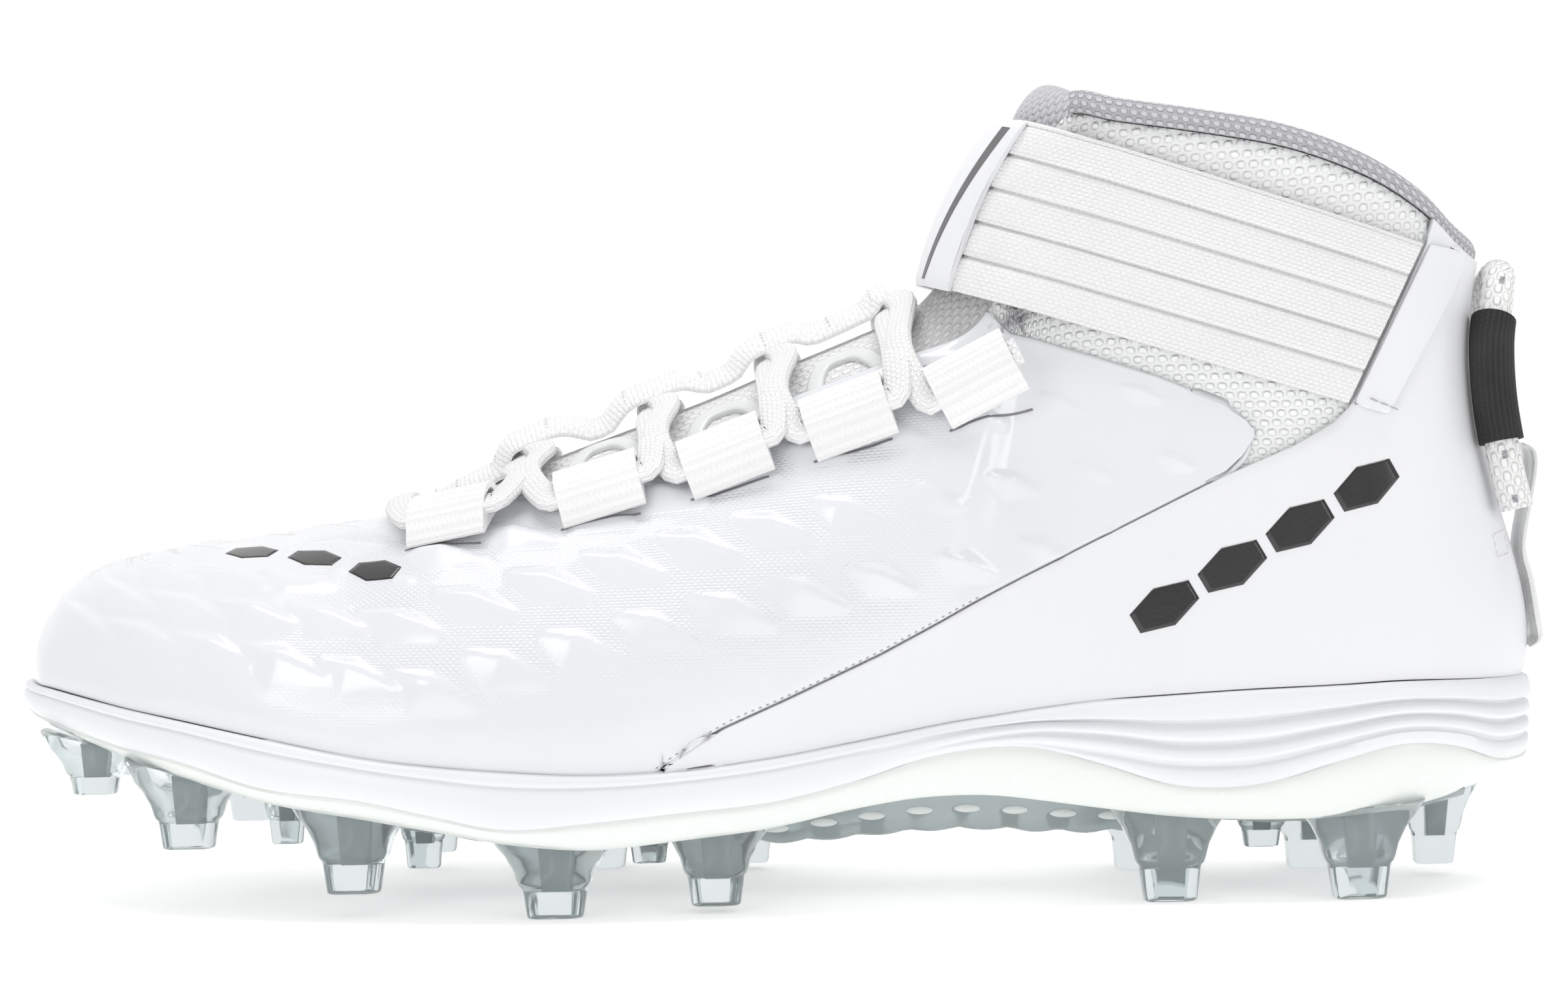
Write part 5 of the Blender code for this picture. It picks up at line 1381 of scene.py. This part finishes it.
barPath = smoothPath(
    barKnots(-1) + barKnots(1)[::-1], 48, (loops[0, -1][3], loops[0, 1][3]), Vector(bar["out"]),
)
barRings = flatCord(*barPath, lacing["width"], lacing["thick"])
madeFrom("laceBar", barRings, finishes["lace"], "webbing", "lace_bar")
for side, sideName in ((-1, "lateral"), (1, "medial")):
    middle, rear, _, out = loops[4, side]
    path = [middle + rear * mouth * blend(*lacing["end"], i / 12) for i in range(13)]
    madeFrom(
        "laceEnd" + sideName.capitalize(), flatCord(path, [out] * 13, lacing["width"], lacing["thick"]),
        finishes["lace"], "webbing", "lace_end_" + sideName,
    )
    for n in range(5):
        middle, rear, down, out = loops[n, side]
        steps = [rear * (mouth + lacing["lap"]) * (i / 4 - 1) for i in range(9)]
        tall = lacing["loopHeight"] + 0.8
        outer = [loopRing(middle + step, down, out, tall, loopDeep, 1.0) for step in steps]
        raised = middle - down * 0.8
        tall = loopHole[0] * 0.9
        inner = [loopRing(raised + step, down, out, tall, loopHole[1], 0.25) for step in reversed(steps)]
        madeFrom(
            "laceLoop%s%d" % (sideName.capitalize(), n + 1), outer + inner, finishes["webbing"], "webbing",
            "lace_loop_%s_%d" % (sideName, n + 1), closedPath=True,
        )

ribbonStart = tongueShare(lacing["along"][0] * shoe["length"] - ribbon["ahead"])
ribbonEnd = tongueShare(ribbon["end"] * shoe["length"])
crossings = [tongueShare((a + b) / 2 * shoe["length"]) for a, b in zip(lacing["along"], lacing["along"][1:])]
ribbonPath, ribbonOuts = [], []
for i in range(ribbon["steps"] + 1):
    s = i / ribbon["steps"]
    t = blend(ribbonStart, ribbonEnd, s)
    bumps = [math.exp(-(((t - c) / ribbon["bump"]) ** 4)) for c in crossings]
    bump = max(bumps + [blend(*ribbon["rise"], s)])
    over = bump * (lacing["thick"] + lacing["over"] + ribbon["stand"])
    ribbonPath.append(tonguePoint(t, 0.0, shoe["gap"] + ribbon["thick"] / 2 + ribbon["stand"] + over))
    ribbonOuts.append(tongueFrame(t)[1])
ribbonRings = flatCord(
    ribbonPath, ribbonOuts, ribbon["width"], ribbon["thick"], 24, 0.4, ribbon["droop"], ribbon["roll"],
)
madeFrom("tongueRibbon", ribbonRings, finishes["ribbon"], "webbing", "tongue_ribbon")
print("laces, loops and ribbon made")

# Padded collar lining with its roll
lining = {
    "thick": 4.0, "roll": 4.4, "perStation": 6, "sides": 48, "levels": (0.5, 0.667, 0.833), "taper": 0.04,
    "ring": (  # shares of the clearance and of the thickness, how far out, how far up, share of the roll
        (1, 0, 0, 0.2, 0), (0, 0, 0.5, 0.15, 0), (0, 0, 1.0, 0, 0.5), (0, 0, -0.5, 0, 1),
        (1, 0.45, 0, 0, 1.02), (1, 0.9, 0, 0, 0.7), (1, 1, 0, 0.3, 0),
    ),
}


def facing(k, v, near=0.1, step=0.02):
    # the way out from the bootie at a station and level
    a = pointAt(k + near, v) - pointAt(k - near, v)
    b = pointAt(k, min(v + step, 1)) - pointAt(k, max(v - step, 0))
    return a.cross(b).normalized()


def liningRing(k, s):
    # one section: up inside the bootie, over its edge and down again, thinner at both ends
    below = [(pointAt(k, v), facing(k, v)) for v in lining["levels"]]
    top, out = pointAt(k, 1.0), facing(k, 1.0)
    flat = Vector((out.x, out.y, 0)).normalized()
    ends = smooth(0, lining["taper"], s) * smooth(0, lining["taper"], 1 - s)
    clear, full = shoe["wall"] + shoe["gap"], lining["thick"] * (0.5 + 0.5 * ends)
    ring = [p - face * clear for p, face in below]
    for clearShare, fullShare, away, up, rolled in lining["ring"]:
        spot = top + flat * (away - clear * clearShare - full * fullShare)
        ring.append(spot + Vector((0, 0, up + lining["roll"] * rolled)))
    ring += [p - face * (clear + full) for p, face in reversed(below)]
    return [around(ring, len(ring) * side / lining["sides"]) for side in range(lining["sides"])]


first, last = shoe["collarRow"], stationCount - shoe["collarRow"]
liningCount = (last - first) * lining["perStation"]
rings = [liningRing(blend(first, last, n / liningCount), n / liningCount) for n in range(liningCount + 1)]
collarLining = madeFrom("collarLining", rings, finishes["lining"], "lining", "collar_lining")
print("lining made")

# Rope pull, its sleeves and the heel tab
pull = {
    "diameter": 6.6, "sleeveWall": 0.8, "sleeve": (0.22, 0.585),
    "leg": (
        (0.140, 0.478), (0.134, 0.540), (0.120, 0.620), (0.098, 0.695), (0.068, 0.752), (0.036, 0.778),
        (0.0, 0.787),
    ),
    "tabWidth": 15.0, "tabThick": 1.1, "tabRim": 0.3, "tabSteps": 64,
    "tabLow": (0.86, 0.32, 0.345), "tabTop": (0.75, 0.0, 0.03),
    "tab": (
        (0.566, 0.9985), (0.555, 1.0045), (0.530, 1.0054), (0.479, 1.0017), (0.429, 0.9990), (0.388, 1.0040),
        (0.327, 1.0091), (0.312, 1.0091), (0.304, 1.0037),
    ),
}
stand = pull["diameter"] / 2 + pull["sleeveWall"] + 2 * shoe["gap"]
legs = {}
for side in (-1, 1):
    legs[side] = []
    for across, height in pull["leg"]:
        hit, face = castHeel(side * across * shoe["ballWidth"], height * shoe["collarHeight"])
        legs[side].append(hit + face * stand)
ropeKnots = legs[-1] + legs[1][-2::-1]


def cordRings(start, end, count, radius, sides=24):
    # rings round a stretch of the rope
    rings = []
    for i in range(count + 1):
        t = blend(start, end, i / count)
        here = along(ropeKnots, t)
        tangent = (along(ropeKnots, min(t + 0.005, 1)) - along(ropeKnots, max(t - 0.005, 0))).normalized()
        across = tangent.cross(Vector((0, 1, 0.2))).normalized()
        up = across.cross(tangent).normalized()
        turns = [2 * math.pi * s / sides for s in range(sides)]
        rings.append([here + (across * math.cos(a) + up * math.sin(a)) * radius for a in turns])
    return rings


madeFrom("pullRope", cordRings(0, 1, 120, pull["diameter"] / 2), finishes["rope"], "webbing", "pull_rope")
sleeveHole = pull["diameter"] / 2 + shoe["gap"]
for sideName in ("lateral", "medial"):
    a, b = (share / 2 if sideName == "lateral" else 1 - share / 2 for share in pull["sleeve"])
    outer = cordRings(a, b, 24, sleeveHole + pull["sleeveWall"])
    inner = cordRings(b, a, 24, sleeveHole)
    madeFrom(
        "pullSleeve" + sideName.capitalize(), outer + inner, finishes["sleeve"], "sleeve",
        "pull_sleeve_" + sideName, closedPath=True,
    )

tabHeights = [row[0] * shoe["collarHeight"] for row in pull["tab"]]
tabReach = [row[1] * shoe["length"] for row in pull["tab"]]
rings = []
for n in range(pull["tabSteps"] + 1):
    s = n / pull["tabSteps"]
    z, reach = along(tabHeights, s), along(tabReach, s)
    narrow = blend(pull["tabLow"][0], 1, smooth(*pull["tabLow"][1:], z / shoe["collarHeight"]))
    narrow *= blend(pull["tabTop"][0], 1, smooth(*pull["tabTop"][1:], s))
    middle, _ = castHeel(0, z)
    away = max(reach - pull["tabThick"] - middle.x, shoe["gap"] * 1.4)
    front, back = [], []
    for i in range(15):
        c = 2 * i / 14 - 1
        y = c * pull["tabWidth"] / 2 * narrow
        hit, _ = castHeel(y, z)
        rim = pull["tabRim"] * abs(c) ** 8
        front.append(Vector((hit.x + away + rim, y, z)))
        back.append(Vector((hit.x + away + pull["tabThick"] - rim, y, z)))
    rings.append(back + front[::-1])
madeFrom("heelTab", rings, finishes["tab"], "matt_synthetic", "heel_tab")
print("pull and heel tab made")

# The black tiles laid on the rear overlay and the toe
vampMesh = bmesh.new()
vampMesh.from_mesh(vampSkin.data)
vampTree = BVHTree.FromBMesh(vampMesh)


def flatTile(bm, tree, middle, normal, ahead, size):
    # a stretched hexagon laid on a surface
    ahead = (ahead - normal * ahead.dot(normal)).normalized()
    across = normal.cross(ahead)
    made = bmesh.ops.create_circle(bm, cap_ends=True, segments=6, radius=1.0)["verts"]
    fan = bmesh.ops.poke(bm, faces=[made[0].link_faces[0]])
    edges = list({e for f in fan["faces"] for e in f.edges})
    bmesh.ops.subdivide_edges(bm, edges=edges, cuts=5, use_grid_fill=True)
    for v in bm.verts:
        c, s = v.co.x, v.co.y
        flat = middle + ahead * (c * size[0] / 2) + across * (s / 0.866 * size[1] / 2)
        hit, _ = cast(tree, flat + normal * 6, -normal, 20)
        v.co = inFrame((hit or flat) + normal * accents["lift"])


def tiles(name, tree, spots, size):
    # black tiles at places on a surface, each with its normal and direction
    bm = bmesh.new()
    for middle, normal, ahead in spots:
        part = bmesh.new()
        flatTile(part, tree, middle, normal, ahead, size)
        part.normal_update()
        if next(iter(part.faces)).normal.dot(normal) < 0:
            bmesh.ops.reverse_faces(part, faces=part.faces[:])
        mesh = bpy.data.meshes.new("part")
        part.to_mesh(mesh)
        part.free()
        bm.from_mesh(mesh)
    made = finished(name, bm, finishes["accent"], smoothAngle=0, merge=0, outward=False)
    return walled(made, accents["thick"])


slant = math.radians(accents["slant"])
way = Vector((math.cos(slant), 0, math.sin(slant)))
spots = [(*castSide(quarterTree, x, z, side), way) for x, z in accents["quarter"] for side in (-1, 1)]
dressed(tiles("quarterTiles", quarterTree, spots, accents["size"]), "matt_synthetic", "heel_quarter")
way = Vector(accents["toeWay"])
spots = [(*cast(skinTree, (x, y, 200), Vector((0, 0, -1))), way) for x, y in accents["toe"]]
dressed(tiles("toeTiles", vampTree, spots, accents["toeSize"]), "glossy_skin", "vamp_shell")
print("black tiles made")

# Stitches, painted shadow strips where the loops tuck into the skin, the tongue's edges and loose threads
sewing = {  # length, pitch and thickness of a stitch
    "seam": (0.8, 1.5, 0.35), "box": (1.2, 1.7, 0.5), "eyestay": (2.0, 3.0, 0.5), "ribbon": (0.8, 1.3, 0.45),
    "patch": (2.2, 2.2, 0.35), "seamPart": (122, 188), "seamAway": 0.35,
    "eyestayLevel": 0.955, "eyestayPart": (8.2, 15.1), "patchPart": (262.6, 95.6, 267.1, 93.7),
    "boxCorners": ((11.6, 69.6), (17.4, 69.0), (17.8, 64.6), (12.0, 65.2), (11.6, 69.6)),
    "ribbonRows": (8, 20, 31, 43, 55, 67, 79, 90), "ribbonPlaces": (-4.2, -2.1, 0, 2.1, 4.2),
}
# painted shadow strips along the loops' lower edges: their place and size
slotShadows = {"below": 1.1, "over": 0.5, "ahead": 1.3, "width": 0.5, "thick": 0.3}
tongueEdge = {
    "arches": ((1, 10.5), (2, 8.0), (3, 10.5)), "ahead": 1.0, "half": 7.4, "width": 3.4, "thick": 1.5,
}
tuft = {
    "place": (195.5, 112.5), "spread": (2.2, 1.6), "threads": 22, "knots": 7, "step": 0.55, "turn": 0.6,
    "out": 0.12, "stand": 0.6, "width": 0.42,
}


def sew(name, lines, finish, slotName, node, stitch):
    # lines of small stitches: each line is a list of points with normals
    length, pitch, thick = stitch
    shape = Matrix.Diagonal((length / 2 * mm, thick / 2 * mm, thick / 3 * mm, 1))
    bm = bmesh.new()
    for line in lines:
        far = 0.0
        for (a, n), (b, _) in zip(line, line[1:]):
            reach = (b - a).length
            while far < reach:
                spot, way = a + (b - a) * (far / reach), (b - a).normalized()
                up = (n - way * n.dot(way)).normalized()
                turn = Matrix((way, up.cross(way), up)).transposed().to_4x4()
                place = Matrix.Translation(inFrame(spot)) @ turn @ shape
                bmesh.ops.create_icosphere(bm, subdivisions=1, radius=1.0, matrix=place)
                far += pitch
            far -= reach
    return dressed(finished(name, bm, finish, smoothAngle=0, merge=0), slotName, node)


def onSide(tree, x, z, side, lift):
    # a place on one side of a surface, with its normal
    hit, normal = castSide(tree, x, z, side)
    return (hit + normal * lift, normal) if hit is not None else None


seamFine = [Vector((x * shoe["length"], 0, z * shoe["collarHeight"])) for x, z in seamLine]
seamPath = [along(seamFine, i / 80) for i in range(81)]
seamPath = [p for p in seamPath if sewing["seamPart"][0] < p.x < sewing["seamPart"][1]]
seamSides = []
for side in (-1, 1):
    found = [
        onSide(skinTree, p.x - sewing["seamAway"], p.z + sewing["seamAway"], side, 0.0) for p in seamPath
    ]
    seamSides.append([spot for spot in found if spot])
sew("seamStitches", seamSides, finishes["greyThread"], "webbing", "vamp_shell", sewing["seam"])

boxes = []
for side in (-1, 1):
    box = []
    for (y0, z0), (y1, z1) in zip(sewing["boxCorners"], sewing["boxCorners"][1:]):
        for i in range(4):
            hit, normal = castHeel(side * blend(y0, y1, i / 4), blend(z0, z1, i / 4))
            box.append((hit + normal * 0.1, normal))
    boxes.append(box + box[:1])
sew("boxStitches", boxes, finishes["thread"], "webbing", "heel_quarter", sewing["box"])

# painted shadow: a thin dark strip on the skin along each loop's lower edge, where the loop tucks into its
# slot
bm = bmesh.new()
for (n, side), (middle, rear, down, out) in loops.items():
    line = []
    for i in range(13):
        start = middle + down * (lacing["loopHeight"] / 2 + slotShadows["below"]) + out * 8
        start += rear * ((mouth + slotShadows["over"]) * (i / 6 - 1) - slotShadows["ahead"])
        hit, _ = cast(vampTree, start, -out)
        line.append((hit or start - out * 8) + out * 0.05)
    sweepInto(bm, flatCord(line, [out] * 13, slotShadows["width"], slotShadows["thick"], 8))
dressed(finished("loopSlotShadows", bm, finishes["slot"]), "glossy_skin", "vamp_shell")

# Padded white edges on the tongue, arched between the lace legs
bm = bmesh.new()
for side in (-1, 1):
    for n, arch in tongueEdge["arches"]:
        line, faces = [], []
        for i in range(25):
            u = i / 12 - 1
            x = lacing["along"][n] * shoe["length"] - tongueEdge["ahead"] + u * tongueEdge["half"]
            reach = abs(topPoint(stationAt(x, side)).y - ridgeY(x)) - 0.4
            t = tongueShare(x)
            across = side * (reach - arch * (1 - abs(u) ** 3.0)) / tongueFrame(t)[2]
            widthWay = tonguePoint(t, across + 0.02) - tonguePoint(t, across - 0.02)
            lengthWay = tonguePoint(min(t + 0.01, 1), across) - tonguePoint(t - 0.01, across)
            face = widthWay.cross(lengthWay).normalized()
            if face.dot(tongueFrame(t)[1]) < 0:
                face = -face
            line.append(tonguePoint(t, across) + face * 0.35)
            faces.append(face)
        sweepInto(bm, flatCord(line, faces, tongueEdge["width"], tongueEdge["thick"], 16))
dressed(finished("tongueEdges", bm, finishes["tab"], smoothAngle=60), "ankle_mesh", "tongue")

eyestay = []
for side in (-1, 1):
    line = []
    for i in range(120):
        k = blend(*sewing["eyestayPart"], i / 119)
        spot = pointAt(k if side < 0 else stationCount - k, sewing["eyestayLevel"])
        hit, normal, _, _ = vampTree.find_nearest(inFrame(spot))
        line.append((backToMm(hit) + normal * 0.05, normal))
    eyestay.append(line)
sew("eyestayStitches", eyestay, finishes["thread"], "webbing", "vamp_shell", sewing["eyestay"])

ribbonLines = []
for i in sewing["ribbonRows"]:
    here, out = ribbonPath[i], ribbonOuts[i]
    beside = (ribbonPath[i + 1] - ribbonPath[i - 1]).normalized().cross(out)
    line = []
    for y in sewing["ribbonPlaces"]:
        height = ribbon["thick"] / 2 - ribbon["droop"] * y * y + ribbon["roll"] * y + 0.1
        line.append((here + beside * y + out * height, out))
    ribbonLines.append(line)
sew("ribbonStitches", ribbonLines, finishes["thread"], "webbing", "tongue_ribbon", sewing["ribbon"])

# Loose grey threads under the strap and one at the patch's corner
spot, normal = onSide(ankleTree, *tuft["place"], -1, 0.05)
dice = random.Random(7)
bm = bmesh.new()
for n in range(tuft["threads"]):
    aside, up = (dice.uniform(-reach, reach) for reach in tuft["spread"])
    here, line = spot + Vector((aside, 0, up)) + normal * tuft["stand"], []
    way = Vector([dice.uniform(-1, 1) for _ in range(3)]).normalized()
    for i in range(tuft["knots"]):
        line.append(here)
        bend = Vector([dice.uniform(-tuft["turn"], tuft["turn"]) for _ in range(3)])
        way = (way + bend + normal * tuft["out"]).normalized()
        here = here + way * tuft["step"]
    sweepInto(bm, flatCord(line, [normal] * tuft["knots"], tuft["width"], tuft["width"], 6, 1.0))
dressed(finished("threadTuft", bm, finishes["greyThread"], smoothAngle=60), "webbing", "upper")
x0, z0, x1, z1 = sewing["patchPart"]
cornerLine = [onSide(quarterTree, blend(x0, x1, i / 4), blend(z0, z1, i / 4), -1, 1.5) for i in range(5)]
sew("patchThread", [cornerLine], finishes["greyThread"], "webbing", "strap_patch_lateral", sewing["patch"])
print("sewing made")

# Camera, light and floor
view = {
    "place": (1.0, -898.18, 114.3), "down": 2.42, "roll": 0.634, "lens": 104.9,
    "around": 0.60, "behind": 1.0, "overhead": 5.0, "front": 2.2, "rim": 1.6, "floorGlow": 0.42,
}
camera = bpy.data.objects.new("photoCamera", bpy.data.cameras.new("photoCamera"))
bpy.context.scene.collection.objects.link(camera)
camera.data.sensor_width = 36.0
camera.data.lens = view["lens"]
tip, turn = math.radians(view["down"]), math.radians(view["roll"])
right, upward = Vector((1, 0, 0)), Vector((0, math.sin(tip), math.cos(tip)))
sideways = right * math.cos(turn) - upward * math.sin(turn)
over = right * math.sin(turn) + upward * math.cos(turn)
aim = Matrix((sideways, over, sideways.cross(over))).transposed().to_4x4()
camera.matrix_world = Matrix.Translation(Vector(view["place"]) * mm) @ aim
bpy.context.scene.camera = camera
bpy.context.scene.view_settings.view_transform = "Standard"


def softbox(name, place, height, size, watts):
    # a lamp turned to a height above the middle of the floor
    lamp = bpy.data.objects.new(name, bpy.data.lights.new(name, "AREA"))
    lamp.data.shape = "RECTANGLE"
    lamp.data.size, lamp.data.size_y = size
    lamp.data.energy = watts
    lamp.location = place
    lamp.rotation_euler = (Vector((0, 0, height)) - Vector(place)).to_track_quat("-Z", "Y").to_euler()
    bpy.context.scene.collection.objects.link(lamp)


softbox("overheadLight", (0.0, -0.05, 1.0), 0.05, (0.9, 0.28), view["overhead"])
softbox("frontLight", (-0.75, -1.2, 0.55), 0.06, (0.5, 0.5), view["front"])
softbox("sideLight", (1.1, -0.9, 0.5), 0.06, (0.3, 0.6), view["rim"])

world = bpy.data.worlds.new("studio")
bpy.context.scene.world = world
world.use_nodes = True
tree = world.node_tree
direction = addNode(tree, "TexCoord", out="Generated")
behindShoe = addNode(tree, "SeparateXYZ", inputs={0: direction}, out=1)
glow = addNode(tree, "MapRange", inputs={
    "Value": behindShoe, "From Min": 0.1, "From Max": 0.8, "To Min": view["around"], "To Max": view["behind"],
})
tree.links.new(glow.socket, tree.nodes["Background"].inputs["Strength"])
tree.nodes["Background"].inputs["Color"].default_value = (1, 1, 1, 1)

bm = bmesh.new()
bmesh.ops.create_grid(bm, x_segments=8, y_segments=8, size=12.0)
paper = plainFinish("floorPaper", (0.86, 0.86, 0.86), 0.8, 0.99)
glowing = paper.node_tree.nodes["Principled BSDF"].inputs
glowing["Emission Color"].default_value = (1, 1, 1, 1)
glowing["Emission Strength"].default_value = view["floorGlow"]
floor = finished("floor", bm, paper, smoothAngle=0, merge=0, outward=False)
print("camera, light and floor set")
